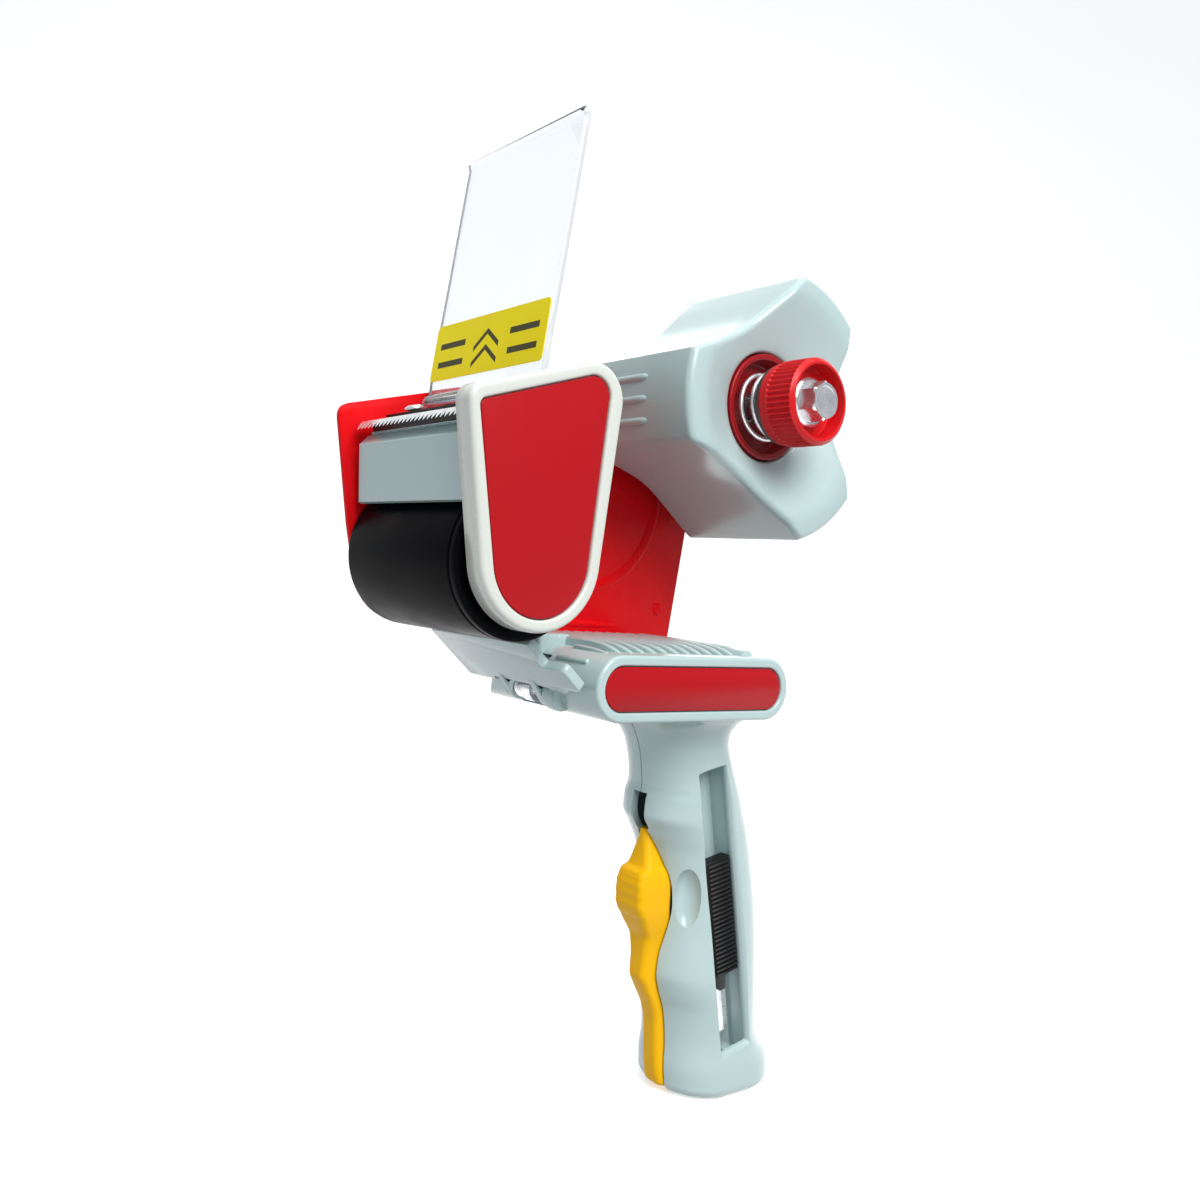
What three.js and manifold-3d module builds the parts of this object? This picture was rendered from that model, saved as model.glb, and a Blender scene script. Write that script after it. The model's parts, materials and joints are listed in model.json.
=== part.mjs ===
// Pistol-grip packing-tape dispenser, built as an assembly of separate named pieces.
// Millimetres. +X points to the open side where the tape roll goes on, -Y to the front (roller and
// blade), +Z up and square to the deck. The pieces are drawn with the hub's axis at y = z = 0, and
// the finished group is moved so that the centre of the hand grip is the origin.
import * as THREE from "three";
import { mergeVertices } from "three/addons/utils/BufferGeometryUtils.js";
import Module from "manifold-3d";

const wasm = await Module();
wasm.setup();

// ---------------------------------------------------------------- driving dimensions
const GAP = 0.3; // clearance between pieces that touch
const SPLIT = 0.15; // half of the gap between the two handle shells
const GRIP = { y: -2, z: -146 };
const HUB = { radius: 39.6, halfWidth: 22.6, lobe: 63.5, lobeHalf: 18.5, dip: 3.8, bore: 6.4 };
const ROLLER = { y: -93, z: -51, radius: 19.2, far: -27.3, near: 25 };
const PLATE = { outer: -29.6, inner: -28 };
const COVER = { inner: 26.5, outer: 33, web: 28.2, inlay: 31 };
const DECK = { y: -33.25, z: -81, halfRun: 26.85, radius: 8.6, far: -27.7, near: 27, wall: 2, ribs: 11 };
const FLAP = { y: -66.5, z: -84.5, slope: 140, thick: 2.7, length: 18.7 };
const SHIELD = { y: -90.5, z: -9.5, halfWidth: 25.4, thick: 2 };
const BLADE_BED = { y: -108.5, z: -20, slope: 13.8, halfWidth: 25, teeth: 26 };
const TRIGGER = { y: -6.5, z: -192 };
const KNIFE = { y: -3, z: -146.2, tilt: 11.4, slotHalf: 5.25, slotRun: 41 };
const SHAFT = 3; // radius of the M6 spindle and of the roller axle
const PIN = 1.5; // radius of the small steel pins and of the screw shanks
const WALL = 2.4; // wall of the handle shells

const rad = THREE.MathUtils.degToRad;

// ---------------------------------------------------------------- materials
const finish = (color, roughness, metalness = 0) =>
  new THREE.MeshStandardMaterial({ color, roughness, metalness });
const greyPlastic = () => finish(0xbfd0ce, 0.35);
const framePlastic = () => finish(0xd5dbd3, 0.35);
const redPaint = () => finish(0xe30d14, 0.25, 0.1);
const redInlay = () => finish(0xc4161c, 0.4);
const redPlastic = () => finish(0xd40f18, 0.35);
const yellowPlastic = () => finish(0xffc20e, 0.4);
const blackPlastic = () => finish(0x141414, 0.55);
const blackRubber = () => finish(0x0a0a10, 0.25);
const brightSteel = () => finish(0xc9ccd0, 0.3, 1);

// ---------------------------------------------------------------- solids
// A closed three.js geometry as a manifold-3d solid, for joining and cutting.
function solidOf(geometry) {
  const bare = new THREE.BufferGeometry();
  bare.setAttribute("position", geometry.getAttribute("position"));
  bare.setIndex(geometry.index);
  const merged = mergeVertices(bare, 1e-4);
  const vertProperties = merged.attributes.position.array;
  const triVerts = new Uint32Array(merged.index.array);
  return new wasm.Manifold(new wasm.Mesh({ numProp: 3, vertProperties, triVerts }));
}

// The same solid as a geometry to draw.
function geometryOf(solid) {
  const { vertProperties, triVerts } = solid.getMesh();
  const geometry = new THREE.BufferGeometry();
  geometry.setAttribute("position", new THREE.BufferAttribute(vertProperties, 3));
  geometry.setIndex(new THREE.BufferAttribute(triVerts, 1));
  geometry.computeVertexNormals();
  return geometry;
}

// The convex outline round a set of circles [y, z, radius].
function wrap(circles, steps = 24) {
  const points = circles.flatMap(([y, z, r]) =>
    Array.from({ length: steps }, (_, i) => {
      const a = (2 * Math.PI * i) / steps;
      return [y + r * Math.cos(a), z + r * Math.sin(a)];
    }),
  );
  points.sort((a, b) => a[0] - b[0] || a[1] - b[1]);
  const turn = (o, a, b) => (a[0] - o[0]) * (b[1] - o[1]) - (a[1] - o[1]) * (b[0] - o[0]);
  const chain = (list) => {
    const hull = [];
    for (const p of list) {
      while (hull.length > 1 && turn(hull.at(-2), hull.at(-1), p) <= 1e-6) hull.pop();
      hull.push(p);
    }
    return hull.slice(0, -1);
  };
  return [...chain(points), ...chain(points.toReversed())];
}

// A polygon whose corners [a, b, radius] are rounded by short arcs.
function rounded(corners, steps = 4) {
  const at = ([a, b]) => new THREE.Vector2(a, b);
  return corners.flatMap((corner, i) => {
    const here = at(corner);
    const before = at(corners.at(i - 1)).sub(here).normalize();
    const after = at(corners[(i + 1) % corners.length]).sub(here).normalize();
    const radius = corner[2] ?? 0;
    if (!radius) return [[here.x, here.y]];
    const half = Math.acos(before.dot(after)) / 2;
    const reach = radius / Math.tan(half);
    const curve = new THREE.QuadraticBezierCurve(
      here.clone().addScaledVector(before, reach),
      here,
      here.clone().addScaledVector(after, reach),
    );
    return curve.getPoints(steps).map((p) => [p.x, p.y]);
  });
}

const shapeOf = (outline) => new THREE.Shape(outline.map(([a, b]) => new THREE.Vector2(a, b)));

// An outline of [y, z] points drawn out along X from x0 to x1, its end edges cut back by `bevel`.
function alongX(outline, x0, x1, bevel = 0) {
  const geometry = new THREE.ExtrudeGeometry(shapeOf(outline), {
    depth: x1 - x0 - 2 * bevel,
    bevelEnabled: bevel > 0,
    bevelThickness: bevel,
    bevelSize: bevel,
    bevelOffset: -bevel,
    bevelSegments: 1,
  });
  const axes = new THREE.Matrix4().makeBasis(
    new THREE.Vector3(0, 1, 0),
    new THREE.Vector3(0, 0, 1),
    new THREE.Vector3(1, 0, 0),
  );
  return solidOf(geometry.applyMatrix4(axes).translate(x0 + bevel, 0, 0));
}

// An outline of [x, y] points drawn out along Z from z0 to z1.
function alongZ(outline, z0, z1) {
  const options = { depth: z1 - z0, bevelEnabled: false };
  return solidOf(new THREE.ExtrudeGeometry(shapeOf(outline), options).translate(0, 0, z0));
}

// A round bar, or a taper, along X.
function barX(radius, x0, x1, y = 0, z = 0, steps = 20, endRadius = radius) {
  const geometry = new THREE.CylinderGeometry(endRadius, radius, x1 - x0, steps);
  return solidOf(geometry.rotateZ(-Math.PI / 2).translate((x0 + x1) / 2, y, z));
}

function box(x0, x1, y0, y1, z0, z1) {
  const geometry = new THREE.BoxGeometry(x1 - x0, y1 - y0, z1 - z0);
  return solidOf(geometry.translate((x0 + x1) / 2, (y0 + y1) / 2, (z0 + z1) / 2));
}

// A profile of [x, radius] points turned about the X axis through (y, z).
function turnedX(profile, y = 0, z = 0, steps = 28) {
  const points = profile.map(([x, r]) => new THREE.Vector2(r, x));
  const geometry = new THREE.LatheGeometry([...points, points[0]], steps);
  const axes = new THREE.Matrix4().makeBasis(
    new THREE.Vector3(0, 1, 0),
    new THREE.Vector3(1, 0, 0),
    new THREE.Vector3(0, 0, -1),
  );
  return solidOf(geometry.applyMatrix4(axes).translate(0, y, z));
}

const tubeX = (inner, outer, x0, x1, y = 0, z = 0, steps = 22) =>
  barX(outer, x0, x1, y, z, steps).subtract(barX(inner, x0 - 1, x1 + 1, y, z, steps));

// A hexagon bar along X, as on an M6 nut or bolt head.
const hexX = (x0, x1, y = 0, z = 0, radius = 5.7) => barX(radius, x0, x1, y, z, 6);

// A coil spring of round wire, wound about the X axis and centred on x.
class Coil extends THREE.Curve {
  constructor(radius, length, turns) {
    super();
    Object.assign(this, { radius, length, turns });
  }
  getPoint(t, target = new THREE.Vector3()) {
    const a = 2 * Math.PI * this.turns * t;
    const x = this.length * (t - 0.5);
    return target.set(x, this.radius * Math.cos(a), this.radius * Math.sin(a));
  }
}

function coilGeometry(radius, wire, length, turns) {
  const section = shapeOf(wrap([[0, 0, wire / 2]], 5));
  const extrudePath = new Coil(radius, length - wire, turns);
  return new THREE.ExtrudeGeometry(section, { steps: Math.round(turns * 8), extrudePath });
}

// A skin through horizontal sections { z, front, back, half, round }, closed at both ends.
function loft(sections, steps = 4) {
  const ring = ({ z, front, back, half, round }) => {
    const r = Math.min(round, half - 0.1, (back - front) / 2 - 0.1);
    const corners = [
      [half - r, back - r, 0],
      [-half + r, back - r, 90],
      [-half + r, front + r, 180],
      [half - r, front + r, 270],
    ];
    return corners.flatMap(([x, y, start]) =>
      Array.from({ length: steps + 1 }, (_, i) => {
        const a = rad(start + (90 * i) / steps);
        return [x + r * Math.cos(a), y + r * Math.sin(a), z];
      }),
    );
  };
  const rings = sections.toSorted((a, b) => a.z - b.z).map(ring);
  const n = rings[0].length;
  const position = rings.flat(2);
  const index = [];
  for (let s = 0; s + 1 < rings.length; s += 1) {
    for (let i = 0; i < n; i += 1) {
      const j = (i + 1) % n;
      const [a, b, c, d] = [s * n + i, s * n + j, (s + 1) * n + j, (s + 1) * n + i];
      index.push(a, b, c, a, c, d);
    }
  }
  const last = (rings.length - 1) * n;
  for (let i = 1; i + 1 < n; i += 1) {
    index.push(0, i + 1, i);
    index.push(last, last + i, last + i + 1);
  }
  const geometry = new THREE.BufferGeometry();
  geometry.setAttribute("position", new THREE.Float32BufferAttribute(position, 3));
  geometry.setIndex(index);
  return solidOf(geometry);
}

// ---------------------------------------------------------------- the assembly
const drawn = new THREE.Group();

function add(name, solid, material, group = drawn) {
  const geometry = solid.isBufferGeometry ? solid : geometryOf(solid);
  const mesh = new THREE.Mesh(geometry, material);
  mesh.name = name;
  group.add(mesh);
  return mesh;
}

// A group hinged at (y, z) and turned about X, for pieces drawn in their own tilted frame.
function tilted(y, z, degrees) {
  const group = new THREE.Group();
  group.position.set(0, y, z);
  group.rotation.x = rad(degrees);
  drawn.add(group);
  return group;
}

// A pan-head screw along X: its head sits at x and its shank runs towards `way`.
function screwX(x, y, z, way, length, head = 3, height = 1.8) {
  const headBar = way > 0 ? [x - height, x] : [x, x + height];
  const shank = way > 0 ? [x - 0.2, x + length] : [x - length, x + 0.2];
  return barX(head, ...headBar, y, z, 18).add(barX(PIN, ...shank, y, z, 12));
}

const screwHole = (x0, x1, y, z) => barX(PIN + GAP, x0, x1, y, z, 12);

// ---------------------------------------------------------------- frame
const DECK_SCREWS = [[-50, DECK.z], [-13, DECK.z]];
const HEAD_SCREWS = [[-106, -28], [-81, -20]];

function sidePlate() {
  const outline = rounded([
    [-118, -12.6, 4],
    [-112.2, -44, 10],
    [-106, -69.5, 17],
    [-80, -69.5, 5],
    [-56, -88.6, 8],
    [-2, -88.6, 6],
    [8.6, -77, 4],
    [23.5, 25.3, 16],
  ]);
  const holes = [
    barX(SHAFT + GAP, -31, -27, 0, 0),
    barX(SHAFT + GAP, -31, -27, ROLLER.y, ROLLER.z),
    barX(PIN + GAP, -31, -27, SHIELD.y, SHIELD.z, 12),
    ...[...DECK_SCREWS, ...HEAD_SCREWS].map(([y, z]) => screwHole(-31, -27, y, z)),
  ];
  return holes.reduce((s, hole) => s.subtract(hole), alongX(outline, PLATE.outer, PLATE.inner));
}

// One rib of the deck's top, running along X and sloping down to its near end.
function deckRib(far, top, width) {
  const side = [
    [far, top - 0.5], [21, top - 0.5], [21, top + 0.4], [19, top + 1.3], [13, top + 2.4],
    [far, top + 2.4],
  ];
  return alongZ(side, -width / 2, width / 2).rotate([90, 0, 0]);
}

// The deck seen from above: its far front corner is rounded off, so that the flap clears it.
function deckPlan(inset) {
  return rounded([
    [DECK.far - 2, 10],
    [DECK.far - 2 + inset, -70 + inset, 24 - inset],
    [DECK.near + 2, -70 + inset],
    [DECK.near + 2, 10],
  ], 8);
}

function deckOutline(radius) {
  return wrap([
    [DECK.y - DECK.halfRun, DECK.z, radius],
    [DECK.y + DECK.halfRun, DECK.z, radius],
  ]);
}

// The deck is a long flat tube, open at the far end, with bosses for the plate's screws, ribs on
// top, lugs for the flap's pin, and a slot below for the brake link.
function deck() {
  const inner = DECK.radius - DECK.wall;
  let body = alongX(deckOutline(DECK.radius), DECK.far, DECK.near);
  body = body.intersect(alongZ(deckPlan(0), -95, -65));
  const hollow = alongX(deckOutline(inner), DECK.far - 1, DECK.near - 3.5);
  body = body.subtract(hollow.intersect(alongZ(deckPlan(DECK.wall), -95, -65)));
  body = body.subtract(alongX(deckOutline(5.95), DECK.near - 1.6, DECK.near + 1));
  const top = DECK.z + DECK.radius;
  body = body.add(box(DECK.far, 0.8, -61, -56, top - 1, top + 2.9));
  body = body.add(box(-12, 0.8, -67, -60, top - 5, top + 2.9));
  for (let i = 0; i < DECK.ribs; i += 1) {
    const y = -15 - 4.2 * i;
    const rib = deckRib(y < -52 ? 0 : -22, top, 1.8);
    body = body.add(rib.translate([0, y, 0]));
  }
  body = body.add(deckRib(-22, top, 6).translate([0, -9, 0]));
  const nose = { y: DECK.y - DECK.halfRun - 7, z: DECK.z + 4.9 };
  body = body.add(box(8, 20, nose.y - 0.8, nose.y + 0.8, nose.z - 1, nose.z + 0.9));
  for (const [y, z] of DECK_SCREWS) {
    body = body.add(barX(3.4, DECK.far, -12, y, z, 16));
    body = body.add(box(DECK.far, -12, y - 1, y + 1, z - 7.4, z + 7.4));
    body = body.subtract(screwHole(DECK.far - 1, -14, y, z));
  }
  const lug = (radius, x0, x1) => barX(radius, x0, x1, FLAP.y, FLAP.z, 20);
  body = body.add(lug(3.4, -10.2, -8.6)).add(lug(4.4, 7.8, 11.5));
  body = body.subtract(barX(5.4, -8.6, 7.8, FLAP.y, FLAP.z, 24));
  body = body.subtract(box(-3.2, 5.4, -76, -60, -88, -74.8));
  body = body.subtract(box(1.4, 5.4, -16, 1, -95, -84));
  return body.subtract(barX(PIN + GAP, -12, 12, FLAP.y, FLAP.z, 12));
}

add("side_plate", sidePlate(), redPaint());
add("deck", deck(), greyPlastic());
const deckInlay = wrap([
  [DECK.y - DECK.halfRun, DECK.z, 5.6],
  [DECK.y + DECK.halfRun, DECK.z, 5.6],
]);
add("deck_inlay", alongX(deckInlay, DECK.near - 1.3, DECK.near - 0.4), redInlay());

// ---------------------------------------------------------------- head
const COVER_SCREWS = [[-104, -26], [-84, -21]];

const COVER_CORNERS = [[-112.4, -16.2, 4], [-80.6, -11.4, 9], [ROLLER.y, -50, 17.4]];
const INLAY_CORNERS = [[-111.5, -17.6, 2], [-80.8, -10.7, 5], [ROLLER.y, -50.4, 14]];

const shrunk = (corners, by) => wrap(corners.map(([y, z, radius]) => [y, z, radius - by]), 30);

// A hollow bridge over the roller, between the side plate and the near cover.
function headHousing() {
  const under = Array.from({ length: 11 }, (_, i) => {
    const a = rad(36 + 10.8 * i);
    return [ROLLER.y + 21 * Math.cos(a), ROLLER.z + 21 * Math.sin(a)];
  });
  const outline = [...under, [-111.2, -38.2], [-113, -23], [-109, -20.1], [-76, -12.1], [-73.5, -16]];
  let body = alongX(outline, PLATE.inner + GAP, COVER.inner - GAP);
  const pocket = [[-78, -34], [-104, -26.5], [-104, -22.5], [-80, -16.5], [-78, -18]];
  body = body.subtract(alongX(pocket, -12, 12).add(box(-12, 12, -79, -60, -33, -18)));
  const corner = [[-30, -116], [-30, -104], [-21.5, -116]];
  body = body.subtract(alongZ(corner, -40, -15));
  for (const [y, z] of HEAD_SCREWS) body = body.subtract(screwHole(-29, -15.5, y, z));
  for (const [y, z] of COVER_SCREWS) body = body.subtract(screwHole(15.5, 28, y, z));
  const bed = tiltedSolid(BLADE_BED, (at) => at(bladeScrewHoles()));
  return body.subtract(bed);
}

// Turns a solid drawn in a tilted frame into the assembly's frame.
function tiltedSolid({ y, z, slope }, draw) {
  return draw((solid) => solid.rotate([slope, 0, 0]).translate([0, y, z]));
}

function bladeScrewHoles() {
  const hole = (x) => solidOf(
    new THREE.CylinderGeometry(PIN + GAP, PIN + GAP, 14, 12).rotateX(Math.PI / 2).translate(x, 8, 0),
  );
  return hole(-15).add(hole(15));
}

function nearCover() {
  let body = alongX(shrunk(COVER_CORNERS, 0), COVER.inner, COVER.outer);
  body = body.subtract(alongX(shrunk(INLAY_CORNERS, 0), COVER.inlay, COVER.outer + 1));
  const back = alongX(shrunk(COVER_CORNERS, 2.2), COVER.inner - 1, COVER.web);
  const bosses = barX(7, 26, 29, ROLLER.y, ROLLER.z)
    .add(barX(3.6, 26, 29, SHIELD.y, SHIELD.z, 16))
    .add(barX(4, 26, 29, ...COVER_SCREWS[0], 16))
    .add(barX(4, 26, 29, ...COVER_SCREWS[1], 16));
  body = body.subtract(back.subtract(bosses));
  body = body.subtract(barX(SHAFT + GAP, 26, 30.3, ROLLER.y, ROLLER.z));
  body = body.subtract(barX(PIN + GAP, 26, 29.4, SHIELD.y, SHIELD.z, 12));
  for (const [y, z] of COVER_SCREWS) {
    body = body.subtract(screwHole(26, 32, y, z)).subtract(barX(3.3, 29.2, 32, y, z, 18));
  }
  return body;
}

add("head_housing", headHousing(), greyPlastic());
add("near_cover", nearCover(), framePlastic());
const coverInlay = alongX(shrunk(INLAY_CORNERS, GAP), COVER.inlay + GAP, COVER.outer - 0.5);
add("cover_inlay", coverInlay, redInlay());
COVER_SCREWS.forEach(([y, z], i) => {
  add(`cover_screw_${i + 1}`, screwX(29.5, y, z, -1, 12, 2.9, 1.2), brightSteel());
});

// ---------------------------------------------------------------- blade
// Drawn lying on the bed: y runs back up the slope, z stands square to it.
const bladeGroup = tilted(BLADE_BED.y, BLADE_BED.z, BLADE_BED.slope);

function toothedStrip() {
  const { halfWidth, teeth } = BLADE_BED;
  const pitch = (2 * halfWidth) / teeth;
  const edge = Array.from({ length: teeth }, (_, i) => {
    const x = -halfWidth + i * pitch;
    return [[x, -2.7], [x + pitch / 2, -4.8]];
  }).flat();
  const outline = [...edge, [halfWidth, -2.7], [halfWidth, 12], [-halfWidth, 12]];
  return alongZ(outline, 3.4, 4).subtract(bladeScrewHoles());
}

function bladeScrew(x) {
  const head = new THREE.CylinderGeometry(2.7, 2.7, 1.2, 16).rotateX(Math.PI / 2);
  const shank = new THREE.CylinderGeometry(PIN, PIN, 11, 12).rotateX(Math.PI / 2);
  return solidOf(head.translate(x, 8, 6)).add(solidOf(shank.translate(x, 8, 0.2)));
}

const bladeHolder = box(-25, 25, 0.5, 14, GAP, 3.1).subtract(bladeScrewHoles());
const bladeClamp = box(-24, 24, 4.5, 12, 4.3, 5).subtract(bladeScrewHoles());
add("blade_holder", bladeHolder, blackPlastic(), bladeGroup);
add("blade", toothedStrip(), brightSteel(), bladeGroup);
add("blade_clamp", bladeClamp, blackPlastic(), bladeGroup);
add("blade_screw_1", bladeScrew(-15), brightSteel(), bladeGroup);
add("blade_screw_2", bladeScrew(15), brightSteel(), bladeGroup);

// ---------------------------------------------------------------- shield
// A clear guard, slightly bent at mid height, that flips on a pin behind the blade.
function shield() {
  const half = SHIELD.thick / 2;
  const outline = [
    [-90.9 + half, SHIELD.z],
    [-88.4 + half, 13],
    [-82.4 + half, 60.2],
    [-83.4 + half, 61.6],
    [-84.6 - half, 60.8],
    [-82.5 - half, 59],
    [-88.4 - half, 13.2],
    [-90.9 - half, SHIELD.z],
  ];
  const blank = alongX(outline, -SHIELD.halfWidth, SHIELD.halfWidth);
  const barrel = barX(3.2, -SHIELD.halfWidth, SHIELD.halfWidth, SHIELD.y, SHIELD.z, 16);
  return blank.add(barrel).subtract(barX(PIN + GAP, -27, 27, SHIELD.y, SHIELD.z, 12));
}

const clear = finish(0xe8eef2, 0.08);
clear.transparent = true;
clear.opacity = 0.35;
add("shield", shield(), clear);
const labelOutline = [[-91.8, -3], [-91.5, -3], [-89.7, 12.8], [-90, 12.8]];
add("shield_label", alongX(labelOutline, -25, 25), finish(0xf5e616, 0.5));
add("shield_pin", barX(PIN, -29.4, 29.2, SHIELD.y, SHIELD.z, 12), brightSteel());

// ---------------------------------------------------------------- roller
const { y: RY, z: RZ, far, near } = ROLLER;
add("roller_sleeve", tubeX(15.8, ROLLER.radius, far, near, RY, RZ, 36), blackRubber());
const rollerCore = turnedX(
  [[far + 2, 6.8], [far + 2, 15.5], [near - 2, 15.5], [near - 2, 13.2], [near - 8, 12.6],
    [near - 8, 8.6], [near - 2, 8.6], [near - 2, 6.8]],
  RY, RZ, 28,
);
add("roller_core", rollerCore, blackPlastic());
const bush = (x0, x1, f0, f1) => tubeX(SHAFT + GAP, 6.5, x0, x1, RY, RZ, 20)
  .add(tubeX(SHAFT + GAP, 8.4, f0, f1, RY, RZ, 20));
add("roller_bush_near", bush(near - 10, near + 1.2, near - 1.6, near - 0.2), blackPlastic());
add("roller_bush_far", bush(far - 0.3, far + 10, far + 0.2, far + 1.6), blackPlastic());
add("roller_axle", barX(SHAFT, -34, 30, RY, RZ), brightSteel());
const axleNut = hexX(-35.2, PLATE.outer - GAP, RY, RZ).subtract(barX(SHAFT + GAP, -36, -29, RY, RZ));
add("axle_nut", axleNut, brightSteel());

// ---------------------------------------------------------------- hub
// Three lobes that grip the roll's core, with shallow valleys between them.
function hubOutline(inset) {
  const { radius, lobe, lobeHalf, dip } = HUB;
  const chord = radius * Math.cos(rad(60 - lobeHalf));
  const points = [];
  for (let k = 0; k < 3; k += 1) {
    for (let d = -60; d < 60; d += 5) {
      const off = Math.abs(d);
      const t = (60 - off) / (60 - lobeHalf);
      const valley = chord / Math.cos(rad(60 - off)) - dip * (1 - t * t);
      const r = (off <= lobeHalf ? radius : valley) - inset;
      const a = rad(lobe + 120 * k + d);
      points.push([r * Math.cos(a), r * Math.sin(a)]);
    }
  }
  return points;
}

function hubBody() {
  let body = alongX(hubOutline(0), -HUB.halfWidth, HUB.halfWidth, 2.2);
  for (let k = 0; k < 3; k += 1) {
    for (const side of [-9, 0, 9]) {
      const a = HUB.lobe + 120 * k + side;
      const rib = box(-9, 6.5, HUB.radius - 1, HUB.radius + 0.9, -1.2, 1.2).rotate([a, 0, 0]);
      body = body.add(rib);
    }
  }
  const hollow = alongX(hubOutline(3), -HUB.halfWidth - 1, 4).subtract(barX(9.5, -24, 5, 0, 0));
  body = body.subtract(hollow);
  body = body.subtract(barX(16.1, 8, 24, 0, 0, 30));
  body = body.subtract(barX(16.4, 15.06, 23, 0, 0, 30, 33.5));
  return body.subtract(barX(HUB.bore, -24, 24, 0, 0));
}

const cup = turnedX(
  [[8.3, 4.5], [8.3, 15.6], [15.4, 15.6], [15.4, 13.9], [10.3, 13.3], [10.3, 4.5]],
);
add("hub_body", hubBody(), greyPlastic());
add("brake_cup", cup, redPlastic());
const spindle = hexX(-35, PLATE.outer - GAP).add(barX(SHAFT, -31, 32.6, 0, 0));
add("spindle_bolt", spindle, brightSteel());
add("hub_sleeve", tubeX(SHAFT + GAP, 6.1, -22.8, 7.9), brightSteel());
add("back_washer", tubeX(SHAFT + GAP, 12, PLATE.inner + GAP, -26.4), brightSteel());
add("friction_disc", tubeX(SHAFT + GAP, 15, -26.1, -23.1), blackPlastic());

// ---------------------------------------------------------------- hub brake
const brakeCoil = coilGeometry(9.6, 1.3, 9.7, 2).rotateX(rad(-54)).translate(15.5, 0, 0);
add("brake_spring", brakeCoil, brightSteel());
add("brake_washer", tubeX(SHAFT + GAP, 11.6, 20.8, 21.9), brightSteel());

function brakeKnob() {
  const flutes = 48;
  const outline = Array.from({ length: 2 * flutes }, (_, i) => {
    const a = (Math.PI * i) / flutes;
    const r = i % 2 ? 11.7 : 12.4;
    return [r * Math.cos(a), r * Math.sin(a)];
  });
  let knob = alongX(outline, 24.6, 33.2).add(barX(11.9, 22.2, 25, 0, 0, 24));
  knob = knob.add(barX(11.8, 33, 34, 0, 0, 24, 11.2));
  return knob.subtract(barX(10.4, 29, 35, 0, 0, 24)).subtract(barX(SHAFT + GAP, 20, 30));
}

// A closed nut with a flange, which holds the knob on the spindle's end.
const nut = hexX(30.8, 35.8).add(barX(7.1, 29.3, 31)).subtract(barX(SHAFT + GAP, 28, 34.2));
add("brake_knob", brakeKnob(), redPlastic());
add("knob_nut", nut, brightSteel());

// ---------------------------------------------------------------- flap
// Drawn on its own slope: y runs up the plate from its lower edge, z points down and forward.
const flapFrame = { y: -69.5, z: -81.2, slope: FLAP.slope };

function flap() {
  const outline = [
    [-25, -0.6], [17, -0.6], [20.8, 1.5], [25.2, 1.9], [25.4, 10], [17.4, 9.8], [17.4, 12.8],
    [19.2, 16.2], [19.2, 18.7], [-25, 18.7],
  ];
  const plate = tiltedSolid(flapFrame, (at) => at(alongZ(outline, 0, FLAP.thick)));
  const clearance = (x0, x1) => barX(5.9, x0, x1, FLAP.y, FLAP.z, 24);
  let body = plate.subtract(clearance(-12, -8.3)).subtract(clearance(7.4, 12));
  body = body.subtract(clearance(-6.6, 4.9));
  const arm = wrap([[FLAP.y, FLAP.z, 3.6], [-72.2, -81, 1.4]], 20);
  body = body.add(alongX(arm, -8.3, -6.6)).add(alongX(arm, 4.9, 7.4));
  return body.subtract(barX(PIN + GAP, -12, 12, FLAP.y, FLAP.z, 12));
}

function flapPad() {
  return tiltedSolid(flapFrame, (at) => at(box(-23, 17, 15.2, 18.4, -0.9, -0.1)));
}

// The lever turns on the flap's pin and carries a stub that the brake link pulls.
function brakeLever() {
  const stub = [FLAP.y + 3.75, FLAP.z + 6.5];
  const arm = alongX(wrap([[FLAP.y, FLAP.z, 3.4], [...stub, 1.5]], 20), -2.6, 1.4);
  const body = arm.add(barX(1.5, 1.2, 4.6, ...stub, 14));
  return body.subtract(barX(PIN + GAP, -4, 4, FLAP.y, FLAP.z, 12));
}

add("brake_flap", flap(), greyPlastic());
add("flap_pad", flapPad(), blackRubber());
add("brake_lever", brakeLever(), brightSteel());
add("flap_pin", barX(PIN, -10, 11.3, FLAP.y, FLAP.z, 12), brightSteel());
const flapCoil = coilGeometry(2.6, 0.6, 3.2, 3.5).translate(-4.7, FLAP.y, FLAP.z);
add("flap_spring", flapCoil, brightSteel());

// ---------------------------------------------------------------- handle
// Horizontal sections down the grip: finger ridges in front, a flared foot at the bottom.
// Each row is [z, front y, back y, half width].
const GRIP_SECTIONS = [
  [-78, -38, 4, 21], [-90, -35, 3.4, 20], [-92.5, -32.4, 2.6, 17.6], [-96, -29.8, 1.8, 15.4],
  [-100.5, -27.6, 2.6, 14.4], [-106, -26.2, 4.8, 14.3], [-112, -25.4, 7.2, 14.4],
  [-116, -26.4, 8.8, 14.5], [-120, -26.6, 10.2, 14.5], [-124, -24.4, 11.8, 14.5],
  [-130, -21.4, 13.6, 14.5], [-138, -19, 15.6, 14.5], [-146, -18, 17.2, 14.5],
  [-154, -18.2, 18.4, 14.5], [-160, -19, 19, 14.5], [-165, -19.2, 19.4, 14.5],
  [-170, -17.8, 19.7, 14.5], [-176, -15.4, 20, 14.5], [-183, -14.2, 20.6, 14.5],
  [-188, -13.8, 23.2, 14.6], [-192, -13.8, 26.2, 14.8], [-197, -13.2, 26.8, 14.8],
  [-199.8, -10.6, 23.4, 13],
];
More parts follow.
